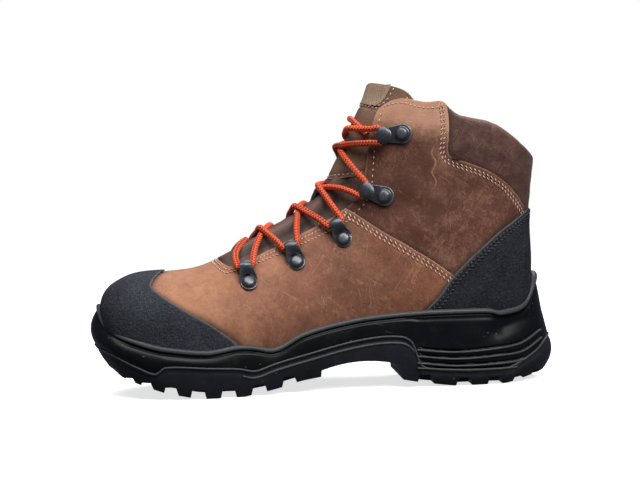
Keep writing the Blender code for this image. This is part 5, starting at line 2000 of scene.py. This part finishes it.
@dataclass
class Tongue:
    """The tongue: a folded gusset below, a padded panel above it and a bare patch at the top."""

    finishes: Finishes
    seams: SeamBook
    below: float = -3.8
    rise: float = 4.3
    top_fall: float = 1.4
    end: float = 16.95
    corner: float = 14.5
    split: float = 9.75
    point: float = 3.4
    pad: float = 4.4
    patch_run: Pair = (15.56, 16.87)
    label_half: Line = (
        (15.56, 15), (15.68, 22.2), (15.84, 24), (16.1, 25.7), (16.4, 26.6), (16.75, 27.6), (16.9, 27.2),
    )
    keeper_run: Pair = (8.75, 9.7)
    keeper_half: float = 5.2
    keeper_rise: Pair = (-1.6, 4.4)

    def reach(self, place: Array, side: int) -> Array:
        """The turn of the tongue's edge, behind the facings."""
        tuck = 8.0 + np.maximum(place - 13.0, 0)
        half = np.minimum(FORM.throat_half(np.maximum(place, 6.05)) + tuck, 36.5)
        return FORM.turn_at(place, side, half)

    def out(self, place: Array, turn: Array, side: int) -> tuple[Array, Array]:
        """The tongue's layer, swelling up between the facings, and the distance from its middle."""
        gap = np.maximum(FORM.throat_half(place), 1e-3)
        away = np.abs(FORM.point(place, turn, side)[..., 1] - FORM.rows(place)[..., CENTRE])
        share = np.where(gap > 8, np.clip((0.9 - away / gap) / 0.6, 0, 1), 0)
        rise = self.rise - self.top_fall * soft_step(10.5, 12.5, place)
        return self.below + rise * share * share * (3 - 2 * share), away

    def params(self, start: float, rows: int, columns: int, side: int) -> tuple[Array, Array]:
        """Places and turns of the padded panel, with a pointed lower end and round top corners."""
        share = np.linspace(0, 1, columns)
        rise = np.linspace(0, 1, rows)[:, None]
        low = start + self.point * (1 - share) ** 1.75
        place = low + (self.end - low) * rise
        turn = 1 - (1 - self.reach(place[:, :1], side)) * (1 - share)
        drop = np.maximum(place - self.corner, 0) / (self.end - self.corner)
        return place - 1.05 * (1 - share) ** 4 * drop, turn

    def sew(self, place: Array, turn: Array, side: int, above: float, **sizes: float) -> None:
        """Adds a row of stitches that far above the tongue's layer; the sizes are fields of Seam."""
        points = FORM.offset(place, turn, side, self.out(place, turn, side)[0] + above)
        self.seams.rows.append(Seam(points, FORM.normal(place, turn, side), Thread.TAN, **sizes))

    def gusset(self) -> None:
        """The folded gusset leather between the lower facings."""
        shell = Shell()
        for side in SIDES:
            place = np.broadcast_to(np.linspace(5.6, 13.4, 110)[:, None], (110, 44))
            turn = 1 - (1 - self.reach(place[:, :1], side)) * np.linspace(1, 0, 44)
            out, away = self.out(place, turn, side)
            fold = soft_step(5.95, 6.7, place)
            out = out + fold * (1.0 * bump(away - 9.5, 2.6) - 1.3 * bump(away, 4.0)
                                - 0.9 * bump(away - 14.5, 1.8))
            out = out - 0.6 * soft_step(9.6, 10.2, place - self.point * ((1 - turn) / 0.65) ** 1.75)
            points = FORM.point(place, turn, side)
            out = out + 0.25 * undulation(points, 13, 9.0) + 0.12 * undulation(points, 6, 10.0)
            # painted shade in the fold's hollows and under the facings, and a painted highlight along the fold's crest
            shade = np.maximum(bump(away - 14.5, 2.2), bump(away, 3.0)) * fold * 0.8
            shade = np.maximum(shade, soft_step(-3.0, 4.0, away - FORM.throat_half(place)))
            shell.add_sheet(place, turn, side, out, {
                "shade": shade, "edge": 0.5 * fold * bump(away - 9.5, 1.2)})
        piece = shell.piece("tongue_gusset", 0.02, self.finishes.gusset)
        give_edge(piece, 1.6, 0.4, rim_only=False)
        hand_over(piece, "dark_leather", "tongue")

    def padded_panel(self) -> None:
        """The padded upper tongue, with sewn channels along its edge and below the patch."""
        shell = Shell()
        for side in SIDES:
            place, turn = self.params(self.split, 120, 52, side)
            out, away = self.out(place, turn, side)
            points = FORM.point(place, turn, side)
            out = out + 0.55 + 0.35 * undulation(points, 24, 11.0)
            edge_place, edge_turn = self.params(self.split + 0.2, 90, 52, side)
            low_place, low_turn = self.params(self.split + 0.22, 2, 52, side)
            rows = [(edge_place[:, 4], edge_turn[:, 4]), (low_place[0, 4:], low_turn[0, 4:]),
                    (np.full(50, 15.42), np.linspace(1, self.reach(np.array(15.4), side) + 0.05, 50))]
            for line_place, line_turn in rows:
                self.sew(line_place, line_turn, side, 0.62, pitch=3.2, length=2.2)
                line = dense(FORM.point(line_place, line_turn, side))
                out = out - 0.75 * bump(distance_to(points, line), 1.7)
            edge_line = dense(FORM.point(place[:, 0], turn[:, 0], side))
            # painted shade where the panel runs under the facings, fading out towards its top; the edge is the rubbed
            # border
            shell.add_sheet(place, turn, side, out, {
                "edge": 0.5 * bump(distance_to(points, edge_line), 1.2),
                "shade": 0.7 * soft_step(-2.0, 5.0, away - FORM.throat_half(place)) * soft_step(15.9, 14.6, place)})
        piece = shell.piece("tongue_pad", 0.02, self.finishes.tongue)
        give_edge(piece, self.pad, 1.5, rim_only=False, segments=4)
        hand_over(piece, "dark_leather", "tongue")

    def patch(self) -> None:
        """The bare patch at the tongue's top, with its border stitches and rows of small holes."""
        shell, holes = Shell(), []
        share = np.linspace(0, 1, 26)
        place = np.broadcast_to(np.linspace(*self.patch_run, 40)[:, None], (40, 26))
        half = np.interp(place[:, 0], *np.transpose(self.label_half))
        for side in SIDES:
            turn = 1 - (1 - FORM.turn_at(place[:, 0], side, half))[:, None] * (1 - share)
            out, _ = self.out(place, turn, side)
            shell.add_sheet(place, turn, side, out + 1.05)
            sewn = place[:31, 0]
            self.sew(sewn, FORM.turn_at(sewn, side, half[:31] + 2.2), side, 0.75, pitch=3.4, length=2.5)
            for i in range(3, 38, 3):
                for j in range(3 + (i // 3) % 2, 26, 2):
                    spot = FORM.offset(place[i, j], turn[i, j], side, out[i, j] + 1.02)
                    holes.append((spot, FORM.normal(place[i, j], turn[i, j], side)))
        piece = shell.piece("tongue_patch", 0.02, self.finishes.label, self.finishes.cut)
        give_edge(piece, 0.9, 0.3)
        hand_over(piece, "dark_leather", "tongue")
        # the perforations are real; their dark dots, in the gusset leather, paint the shade inside them
        Stitching(self.finishes).dots("patch_holes", holes, 0.6, self.finishes.gusset)

    def keeper(self) -> None:
        """The thin webbing loop on the tongue that keeps the lace in the middle."""
        shell, rise = Shell(), np.sin(np.linspace(0, math.pi, 34)) ** 0.8
        place = np.broadcast_to(np.linspace(*self.keeper_run, 34)[:, None], (34, 7))
        out = np.broadcast_to((self.keeper_rise[0] + self.keeper_rise[1] * rise)[:, None], (34, 7))
        for side in SIDES:
            turn = FORM.turn_at(place, side, np.linspace(self.keeper_half, 0, 7)[None])
            shell.add_sheet(place, turn, side, out)
        piece = shell.piece("lace_keeper", 0.02, self.finishes.keeper)
        give_edge(piece, 0.9, 0.3, rim_only=False)
        hand_over(piece, "dark_leather", "tongue")

    def build(self) -> None:
        """Makes the tongue."""
        self.gusset()
        self.padded_panel()
        self.patch()
        self.keeper()


@dataclass(frozen=True)
class LacePoint:
    """A lacing point: what is riveted there, its place, turn and tilt."""

    kind: FittingKind
    place: float
    turn: float
    tilt: float


LACE_POINTS = (
    LacePoint(FittingKind.LOOP, 6.48, 0.458, -1), LacePoint(FittingKind.LOOP, 7.70, 0.465, -4),
    LacePoint(FittingKind.LOOP, 8.95, 0.449, -9), LacePoint(FittingKind.HOOK, 11.07, 0.445, 22),
    LacePoint(FittingKind.HOOK, 14.23, 0.391, 26),
)


@dataclass
class Fittings:
    """Lace loops and hooks: a riveted plate whose tab curls over the lace."""

    finishes: Finishes
    loop_plate: float = 5.5
    hook_plate: float = 6.5
    rivet: float = 4.35
    plate: float = 1.0
    sheet: float = 0.95
    loop_half: float = 5.25
    hook_half: float = 6.5
    bore_height: float = 4.2

    def half(self, kind: FittingKind) -> float:
        """Half the distance from rivet to curl."""
        return self.loop_half if kind is FittingKind.LOOP else self.hook_half

    def frame(self, point: LacePoint, side: int) -> Matrix:
        """Axes at a lacing point: x along the lace, y towards the throat, z out of the leather."""
        out = Vector(FORM.normal(point.place, point.turn, side))
        across = Vector(FORM.point(point.place, point.turn + 0.05, side)
                        - FORM.point(point.place, point.turn - 0.05, side))
        across = Matrix.Rotation(math.radians(point.tilt * -side), 3, out) @ across
        across = (across - out * across.dot(out)).normalized()
        axes = Matrix((across.cross(out), across, out)).transposed().to_4x4()
        axes.translation = Vector(FORM.point(point.place, point.turn, side))
        place, turn = np.meshgrid(np.linspace(-.6, .6, 13) + point.place, np.linspace(-.3, .3, 13) + point.turn)
        local = np.array(axes.inverted())
        spots = FORM.point(place, turn, side).reshape(-1, 3) @ local[:3, :3].T + local[:3, 3]
        under = (np.abs(spots[:, 0]) < 5.4) & (np.abs(spots[:, 1]) < self.half(point.kind) + 5.4)
        axes.translation += out * (max(spots[under, 2].max(), 0) + 0.3)
        return axes

    def curl(self, kind: FittingKind) -> Array:
        """The tab's sheet: rows along its curl, columns across."""
        half, loop = self.half(kind), kind is FittingKind.LOOP
        across = np.linspace(-1, 1, 25)
        # the curl is rounder and lower towards its sides
        radius = (3.7 if loop else 3.6) * np.sqrt(1 - (0.4 if loop else 0.7) * across ** 2)
        rows = []
        for angle in np.radians(np.linspace(-78, 118 if loop else 96, 26)):
            wide = 3.7 + 0.5 * math.sin(max(angle, 0)) if loop else 4.2 + 1.2 * math.sin(angle)
            rows.append(np.stack([across * wide, half + radius * math.cos(angle),
                                  self.bore_height + 0.25 + radius * math.sin(angle)], axis=1))
        last = rows[-1]
        for t in np.linspace(0, 1, 13)[1:]:
            if loop:
                # widening down to a crescent round the rivet
                wide = 4.2 + 1.25 * t ** 0.8
                end_y = -half + np.sqrt(np.maximum(5.1 ** 2 - (across * wide) ** 2, 0)) + 0.3
                end_z = 3.0 - 1.7 * across ** 2
                bulge = 0.7 * math.sin(t * math.pi)
            else:
                # back over the lace to a bowed edge, domed like an egg
                wide = 5.4 + 0.6 * math.sin(min(t * 1.3, 1) * math.pi / 2) - 3.4 * max(t - 0.6, 0) ** 1.3
                end_y, end_z = half - 7.4 + 2.9 * across ** 2, last[:, 2] - 0.9
                bulge = 0.6 * (1 - across ** 2) * math.sin(t * math.pi)
            rows.append(np.stack([across * wide, last[:, 1] + (end_y - last[:, 1]) * t,
                                  last[:, 2] + (end_z - last[:, 2]) * t + bulge], axis=1))
        return np.array(rows)

    def master(self, kind: FittingKind) -> Piece:
        """One fitting at the origin."""
        half, loop = self.half(kind), kind is FittingKind.LOOP
        radius, throat = (self.loop_plate, 3.6) if loop else (self.hook_plate, 4.6)
        around = np.radians(np.linspace(0, 360, 49)[:-1])
        upper = np.sin(around) >= 0
        ring = np.where(upper, throat, radius)
        reach = half - (0.6 if loop else 0.4)
        outline = np.stack([ring * np.cos(around), np.where(upper, reach, -half) + ring * np.sin(around)], axis=1)
        stations = ((1.0, 0.0), (1.0, 0.65), (0.985, 0.85), (0.955, 0.97), (0.9, 1.0), (0.5, 1.0), (0.0, 1.0))
        shell = Shell()
        grid = np.stack([np.column_stack([outline * scale, np.full(48, high * self.plate)])
                         for scale, high in stations], axis=1)
        edge = np.zeros(grid.shape[:2])
        edge[:, 2:4] = 0.7
        outward = np.column_stack([outline, np.full(48, 4.0)])
        shell.add_grid(grid, {"edge": edge}, np.repeat(outward[:, None], len(stations), 1), round_u=True)
        # the rivet: a washer and a dome with a shallow dip
        big = self.rivet
        profile = ((big + 0.6, 0.9), (big + 0.6, 1.3), (big + 0.4, 1.5), (big + 0.15, 1.6), (big, 1.75),
                   (big * 0.985, 2.2), (big * 0.93, 2.8), (big * 0.82, 3.35), (big * 0.62, 3.8), (big * 0.36, 4.05),
                   (big * 0.15, 4.1), (0.0, 4.1))
        turn = np.radians(np.linspace(0, 360, 33)[:-1])
        grid = np.stack([np.stack([r * np.cos(turn), -half + r * np.sin(turn), np.full(32, z)], 1)
                         for r, z in profile], axis=1)
        edge = np.zeros(grid.shape[:2])
        edge[:, 8:] = 0.35
        shell.add_grid(grid, {"edge": edge}, grid - np.array((0, -half, 0.0)), round_u=True)
        base = shell.piece(f"{kind.value}_base", 0.004, self.finishes.metal)
        tab, grid = Shell(), self.curl(kind)
        edge = np.zeros(grid.shape[:2])
        edge[-1], edge[:, 0], edge[:, -1] = 0.9, 0.35, 0.35
        hub = np.array((0.0, half, self.bore_height))
        tab.add_grid(grid, {"edge": edge}, (grid - hub) * np.array((0.0, 1.0, 1.0)))
        sheet = tab.piece(f"{kind.value}_tab", 0.004, self.finishes.metal)
        give_edge(sheet, self.sheet, 0.28, rim_only=False)
        with editing(base.data) as work:
            work.from_mesh(sheet.data)
        bpy.data.objects.remove(sheet)
        return base

    def tree(self) -> GeometryTree:
        """Sets a fitting on each point, turned as the point says."""
        tree = GeometryTree("set_fittings", Fitting=None)
        fitting = tree.out("GeometryNodeObjectInfo", {"transform_space": "ORIGINAL"}, {
            "Object": tree.given("Fitting")}, "Geometry")
        return tree.close(tree.out("GeometryNodeInstanceOnPoints", None, {
            "Points": tree.given("Geometry"), "Instance": fitting,
            "Rotation": tree.turned(tree.named("out"), tree.named("lace_way"))}))

    def build(self) -> None:
        """Makes all loops as one piece and all hooks as another."""
        tree = self.tree()
        for kind in FittingKind:
            master = self.master(kind)
            frames, nodes = [], []
            for side, face in ((-1, "inner"), (1, "outer")):
                for number, point in enumerate(LACE_POINTS, start=1):
                    if point.kind is kind:
                        frames.append(self.frame(point, side))
                        nodes.append(f"lace_{kind.value}_{face}_{number}")
            axes = np.array(frames)[:, :3]
            mesh = line_mesh(f"lace_{kind.value}s", axes[:, None, :, 3])
            store(mesh, "out", axes[..., 2])
            store(mesh, "lace_way", axes[..., 0])
            piece = new_piece(mesh.name, mesh, self.finishes.metal)
            tree.run(piece, Fitting=master)
            bpy.data.objects.remove(master)
            piece.data.set_sharp_from_angle(angle=math.radians(40))
            hand_over(piece, "metal", *nodes)


@dataclass
class Lace:
    """The round braided lace: two strands from the middle of the lowest bar to past the top hooks."""

    finishes: Finishes
    fittings: Fittings
    radius: float = 1.95
    braid_depth: float = 0.3
    picks: float = 2.3
    step: float = 0.42
    clearance: float = -0.7
    over: float = 3.2
    under: float = -0.1
    # places where each run crosses the ridge: towards the inner side, then away from it
    ridge: Line = ((7.22, 7.5), (8.22, 8.53), (9.25, 9.5), (11.98, 12.12), (14.2, 13.15))
    # how far towards the inner side the two runs cross, and whether the first one lies on top
    meet: Line = ((0.12, 1), (0.13, 1), (0.1, 0), (0.03, 1), (0.22, 0))
    last: Line = ((13.54, 0.57), (12.7, 0.57))
    bar_ridge: float = 6.85
    bar_bow: float = 0.22

    def stand(self, point: Array, side: int) -> Triple:
        """The place and turn nearest to a point, and how far the point stands off the form."""
        foot, out = point, 0.0
        for _ in range(5):
            (place, turn), = FORM.locate(foot[None, [0, 2]])
            normal = FORM.normal(place, turn, side)
            out = float((point - FORM.point(place, turn, side)) @ normal)
            foot = point - normal * out
        return float(place), float(turn), out

    def crossing(self, start: tuple, end: tuple, side: int, ridge: float, lift: float, meet: float,
                 bow: float = 0.0) -> Array:
        """Points of a run from one side to the other, over the tongue.

        Args:
            start: place, turn and height where it leaves.
            end: place, turn and height where it arrives.
            side: the side that it leaves.
            ridge: the place where it crosses the ridge.
            lift: how much higher it passes over, or lower under, the other run.
            meet: where the two runs cross, in turns from the ridge to the inner side.
            bow: how far it bows towards the toe on either side.

        Returns:
            The points.
        """
        share = np.linspace(0, 1, 25)[2:-2]
        top = (1 - start[1]) / (2 - start[1] - end[1])
        middle = self.radius + self.clearance
        keys = np.array((0.0, top, 1.0))
        place = smooth_through(keys, np.array((start[0], ridge, end[0])), share)
        out = smooth_through(keys, np.array((start[2], middle, end[2])), share)
        girth = (1 - start[1]) * (1 - share) - (1 - end[1]) * share
        out = out + lift * bump(girth * -side - meet, 0.1)
        place = place - bow * np.sin(np.abs(girth) / (1 - start[1]) * math.pi)
        return FORM.offset(place, 1 - np.abs(girth), np.where(girth > 0, side, -side), out)

    def through(self, point: LacePoint, side: int) -> Array:
        """Points of the lace inside a fitting, from its lower to its upper mouth."""
        axes = self.fittings.frame(point, side)
        half = self.fittings.half(point.kind)
        spots = [axes @ Vector((x, half + bend, self.fittings.bore_height))
                 for x, bend in ((-4.6, 0.6), (-1.5, -0.1), (1.5, -0.1), (4.6, 0.6))]
        along = np.array(axes.to_3x3().col[0])
        up = FORM.point(point.place + 0.1, point.turn, side) - FORM.point(point.place - 0.1, point.turn, side)
        return np.array(spots if float(along @ up) > 0 else spots[::-1])

    def strand(self, side: int) -> Array:
        """The whole strand that starts towards one side."""
        inside = {s: [self.through(point, s) for point in LACE_POINTS] for s in SIDES}
        low = self.stand(inside[side][0][0], side)
        bar = self.crossing(low, low, -side, self.bar_ridge, 0.0, 0.0, self.bar_bow)
        runs = [bar[len(bar) // 2:]]
        for i in range(len(LACE_POINTS)):
            spots = inside[side][i]
            runs.append(spots)
            # runs towards the inner side come first in the tables
            away = int(side < 0)
            if i + 1 < len(LACE_POINTS):
                end = self.stand(inside[-side][i + 1][0], -side)
            else:
                end = (*self.last[away], -3.4)
            lift = self.over if bool(self.meet[i][1]) != bool(away) else self.under
            runs.append(self.crossing(self.stand(spots[-1], side), end, side, self.ridge[i][away], lift,
                                      self.meet[i][0]))
            side = -side
        return rounded_line(np.concatenate(runs), 900)

    def tree(self) -> GeometryTree:
        """Makes a braided cord of a line."""
        tree = GeometryTree("braid", Radius=0.0022, Depth=0.0003, Step=0.0005, Picks=0.0019)
        length = tree.out("GeometryNodeSplineParameter", output="Length")
        line = tree.stored(tree.line(tree.given("Step")), "along", tree.math("MULTIPLY", length, 1000.0))
        ring = tree.out("GeometryNodeCurvePrimitiveCircle", None, {"Resolution": 20, "Radius": tree.given("Radius")})
        ring = tree.stored(ring, "around", tree.out("GeometryNodeSplineParameter", output="Factor"))
        cord = tree.out("GeometryNodeCurveToMesh", None, {"Curve": line, "Profile Curve": ring, "Fill Caps": True})
        turn = tree.math("MULTIPLY", tree.named("around", "FLOAT"), 8 * math.pi)
        pitch = tree.math("DIVIDE", 2 * math.pi / 1000, tree.given("Picks"))
        slide = tree.math("MULTIPLY", tree.named("along", "FLOAT"), pitch)
        left, right = (tree.math("SINE", tree.math(way, turn, slide)) for way in ("ADD", "SUBTRACT"))
        height = tree.math("MULTIPLY", tree.math("MAXIMUM", left, right), tree.given("Depth"))
        normal = tree.out("GeometryNodeInputNormal")
        push = tree.out("ShaderNodeVectorMath", {"operation": "SCALE"}, {0: normal, "Scale": height})
        return tree.close(tree.out("GeometryNodeSetPosition", None, {0: cord, "Offset": push}))

    def build(self) -> None:
        """Makes both strands as one piece."""
        mesh = line_mesh("lace", [self.strand(side) for side in SIDES])
        piece = new_piece(mesh.name, mesh, self.finishes.cord)
        self.tree().run(piece, Radius=(self.radius - 0.15) * MM, Depth=self.braid_depth * MM, Step=self.step * MM,
                        Picks=self.picks * MM)
        hand_over(piece, "lace", "lace_bar", *(f"lace_crossing_{n}" for n in range(1, 6)))


@dataclass
class Stitching:
    """Stitches and other small things set in rows."""

    finishes: Finishes
    flatness: float = 0.85

    def tree(self) -> GeometryTree:
        """Sets stitches along lines."""
        tree = GeometryTree("stitch_rows", Segments=6, Rings=5)
        turn = tree.turned(tree.named("up"), tree.out("GeometryNodeInputTangent"))
        slant = tree.out("FunctionNodeAxisAngleToRotation", None, {
            "Axis": (0.0, 0.0, 1.0), "Angle": tree.named("slant", "FLOAT")})
        turn = tree.out("FunctionNodeRotateRotation", {"rotation_space": "LOCAL"}, {0: turn, 1: slant})
        bead = tree.out("GeometryNodeMeshUVSphere", None, {
            "Segments": tree.given("Segments"), "Rings": tree.given("Rings"), "Radius": 0.5})
        return tree.close(tree.out("GeometryNodeInstanceOnPoints", None, {
            "Points": tree.line(tree.named("pitch", "FLOAT")), "Instance": bead, "Rotation": turn,
            "Scale": tree.named("size")}))

    def rows(self, seams: SeamBook) -> None:
        """Makes the stitches of every row, one piece for each thread."""
        tree = self.tree()
        for thread in Thread:
            chosen = [seam for seam in seams.rows if seam.thread is thread]
            mesh = line_mesh(f"stitches_{thread.value}", [seam.points for seam in chosen])
            counts = [len(seam.points) for seam in chosen]
            sizes = np.array([(seam.length, seam.width, seam.width * self.flatness) for seam in chosen])
            store(mesh, "up", np.concatenate([seam.up for seam in chosen]))
            store(mesh, "size", np.repeat(sizes * MM, counts, axis=0))
            store(mesh, "pitch", np.repeat([seam.pitch * MM for seam in chosen], counts))
            store(mesh, "slant", np.repeat([math.radians(seam.slant) for seam in chosen], counts))
            piece = new_piece(mesh.name, mesh, self.finishes.thread[thread])
            tree.run(piece)
            hand_over(piece, {Thread.BLACK: "guard", Thread.KNURL: "outsole"}.get(thread, "leather"))

    def dots(self, name: str, spots: Sequence[tuple[Array, Array]], width: float,
             material: Material) -> None:
        """Sets small flat dots on points, as one piece.

        Args:
            name: the piece's name.
            spots: each dot's point and the direction out of the surface.
            width: the dots' width.
            material: their material.
        """
        tree = GeometryTree("dot_rows", Width=0.001)
        turn = tree.out("FunctionNodeAlignRotationToVector", {"axis": "Z"}, {"Vector": tree.named("up")})
        half, quarter = (tree.math("MULTIPLY", tree.given("Width"), share) for share in (0.5, 0.25))
        disc = tree.out("GeometryNodeMeshCylinder", None, {"Vertices": 8, "Radius": half, "Depth": quarter})
        tree.close(tree.out("GeometryNodeInstanceOnPoints", None, {
            "Points": tree.given("Geometry"), "Instance": disc, "Rotation": turn}))
        points, ways = np.array(spots).transpose(1, 0, 2)
        mesh = line_mesh(name, points[:, None])
        store(mesh, "up", ways)
        piece = new_piece(name, mesh, material)
        tree.run(piece, Width=width * MM)
        hand_over(piece, "dark_leather")


@dataclass
class Studio:
    """Soft light, a pale floor, a white surround and a camera at the photograph's viewing angle."""

    distance: float = 1.2
    target: Triple = (0.0, 0.0, 0.097)
    elevation: float = 2.5
    yaw: float = -4.0
    roll: float = 1.8
    focal_pixels: float = 1785.6
    image_width: int = 640
    surround: float = 0.14
    floor_half: float = 1.5
    floor_level: float = -0.0003
    floor_glow: float = 0.72

    def camera(self) -> None:
        """Places the camera."""
        a, e, r = (math.radians(v) for v in (self.yaw, self.elevation, self.roll))
        back = Vector((math.sin(a) * math.cos(e), -math.cos(a) * math.cos(e), math.sin(e)))
        right = Vector((math.cos(a), math.sin(a), 0))
        up = back.cross(right)
        right, up = right * math.cos(r) - up * math.sin(r), right * math.sin(r) + up * math.cos(r)
        data = bpy.data.cameras.new("camera")
        data.sensor_width = 36.0
        data.lens = self.focal_pixels / self.image_width * 36.0
        data.clip_start, data.clip_end = 0.05, 50.0
        camera = new_object("camera", data)
        matrix = Matrix((right, up, back)).transposed().to_4x4()
        matrix.translation = Vector(self.target) + back * self.distance
        camera.matrix_world = matrix
        bpy.context.scene.camera = camera

    def light(self, name: str, place: Triple, aim: Triple, size: Pair, power: float, tint: Rgb) -> None:
        """Adds a soft rectangular light.

        Args:
            name: its name.
            place: where it stands.
            aim: the point that it shines at.
            size: its width and height.
            power: its power in watts.
            tint: its colour.
        """
        data = bpy.data.lights.new(name, "AREA")
        data.shape, data.size, data.size_y = "RECTANGLE", *size
        data.energy, data.color = power, tint
        lamp = new_object(name, data)
        lamp.location = place
        lamp.rotation_euler = (Vector(aim) - Vector(place)).to_track_quat("-Z", "Y").to_euler()

    def world(self) -> None:
        """Sets a white surround that lights the boot only a little."""
        world = bpy.data.worlds.new("surround")
        world.use_nodes = True
        tree = world.node_tree
        dim = tree.nodes["Background"]
        white, seen, both = (tree.nodes.new(f"ShaderNode{kind}") for kind in ("Background", "LightPath", "MixShader"))
        dim.inputs["Color"].default_value = (0.86, 0.94, 1.1, 1.0)
        dim.inputs["Strength"].default_value = self.surround
        white.inputs["Color"].default_value = (1.0, 1.0, 1.0, 1.0)
        for number, link in enumerate((seen.outputs["Is Camera Ray"], dim.outputs[0], white.outputs[0])):
            tree.links.new(link, both.inputs[number])
        tree.links.new(both.outputs[0], tree.nodes["World Output"].inputs[0])
        bpy.context.scene.world = world

    def floor(self) -> None:
        """Lays a plain pale floor, which takes the boot's shadow and throws no light back at it."""
        half, level = self.floor_half, self.floor_level
        mesh = bpy.data.meshes.new("floor")
        corners = ((-half, -half, level), (half, -half, level), (half, half, level), (-half, half, level))
        mesh.from_pydata(corners, [], [(0, 1, 2, 3)])
        pale = bpy.data.materials.new("pale_floor")
        pale.use_nodes = True
        sockets = pale.node_tree.nodes["Principled BSDF"].inputs
        for key, value in (("Base Color", (0.85, 0.85, 0.85, 1.0)), ("Roughness", 0.95), ("Specular IOR Level", 0.0),
                           ("Emission Color", (1.0, 1.0, 1.0, 1.0)), ("Emission Strength", self.floor_glow)):
            sockets[key].default_value = value
        mesh.materials.append(pale)
        floor = new_object("floor", mesh)
        floor.visible_diffuse = floor.visible_glossy = False

    def build(self) -> None:
        """Sets the whole studio up."""
        view = bpy.context.scene.view_settings
        view.view_transform, view.look = "Standard", "None"
        self.camera()
        self.world()
        self.floor()
        self.light("softbox", (-0.28, -0.42, 1.25), (-0.02, 0, 0.09), (1.1, 0.8), 15.0, (1.0, 0.99, 0.97))
        self.light("back", (0.3, 0.7, 1.0), (0, 0, 0.1), (0.9, 0.6), 6.0, (0.97, 0.98, 1.0))
        self.light("fill", (0.42, -0.7, 0.8), (0.08, 0, 0.1), (0.8, 0.6), 13.0, (1.0, 0.98, 0.95))


def main() -> None:
    """Builds the boot and its studio."""
    logging.basicConfig(level=logging.INFO, format="%(name)s %(message)s")
    Studio().build()
    finishes, seams = Finishes(), SeamBook()
    Upper(finishes, seams).build()
    Guards(finishes, seams).build()
    midsole, outsole = Midsole(finishes), Outsole(finishes)
    midsole.build()
    outsole.build()
    SoleLines(midsole, outsole, seams).build()
    Footbed(finishes).build()
    Tongue(finishes, seams).build()
    fittings = Fittings(finishes)
    fittings.build()
    Lace(finishes, fittings).build()
    Stitching(finishes).rows(seams)


if __name__ == "__main__":
    main()
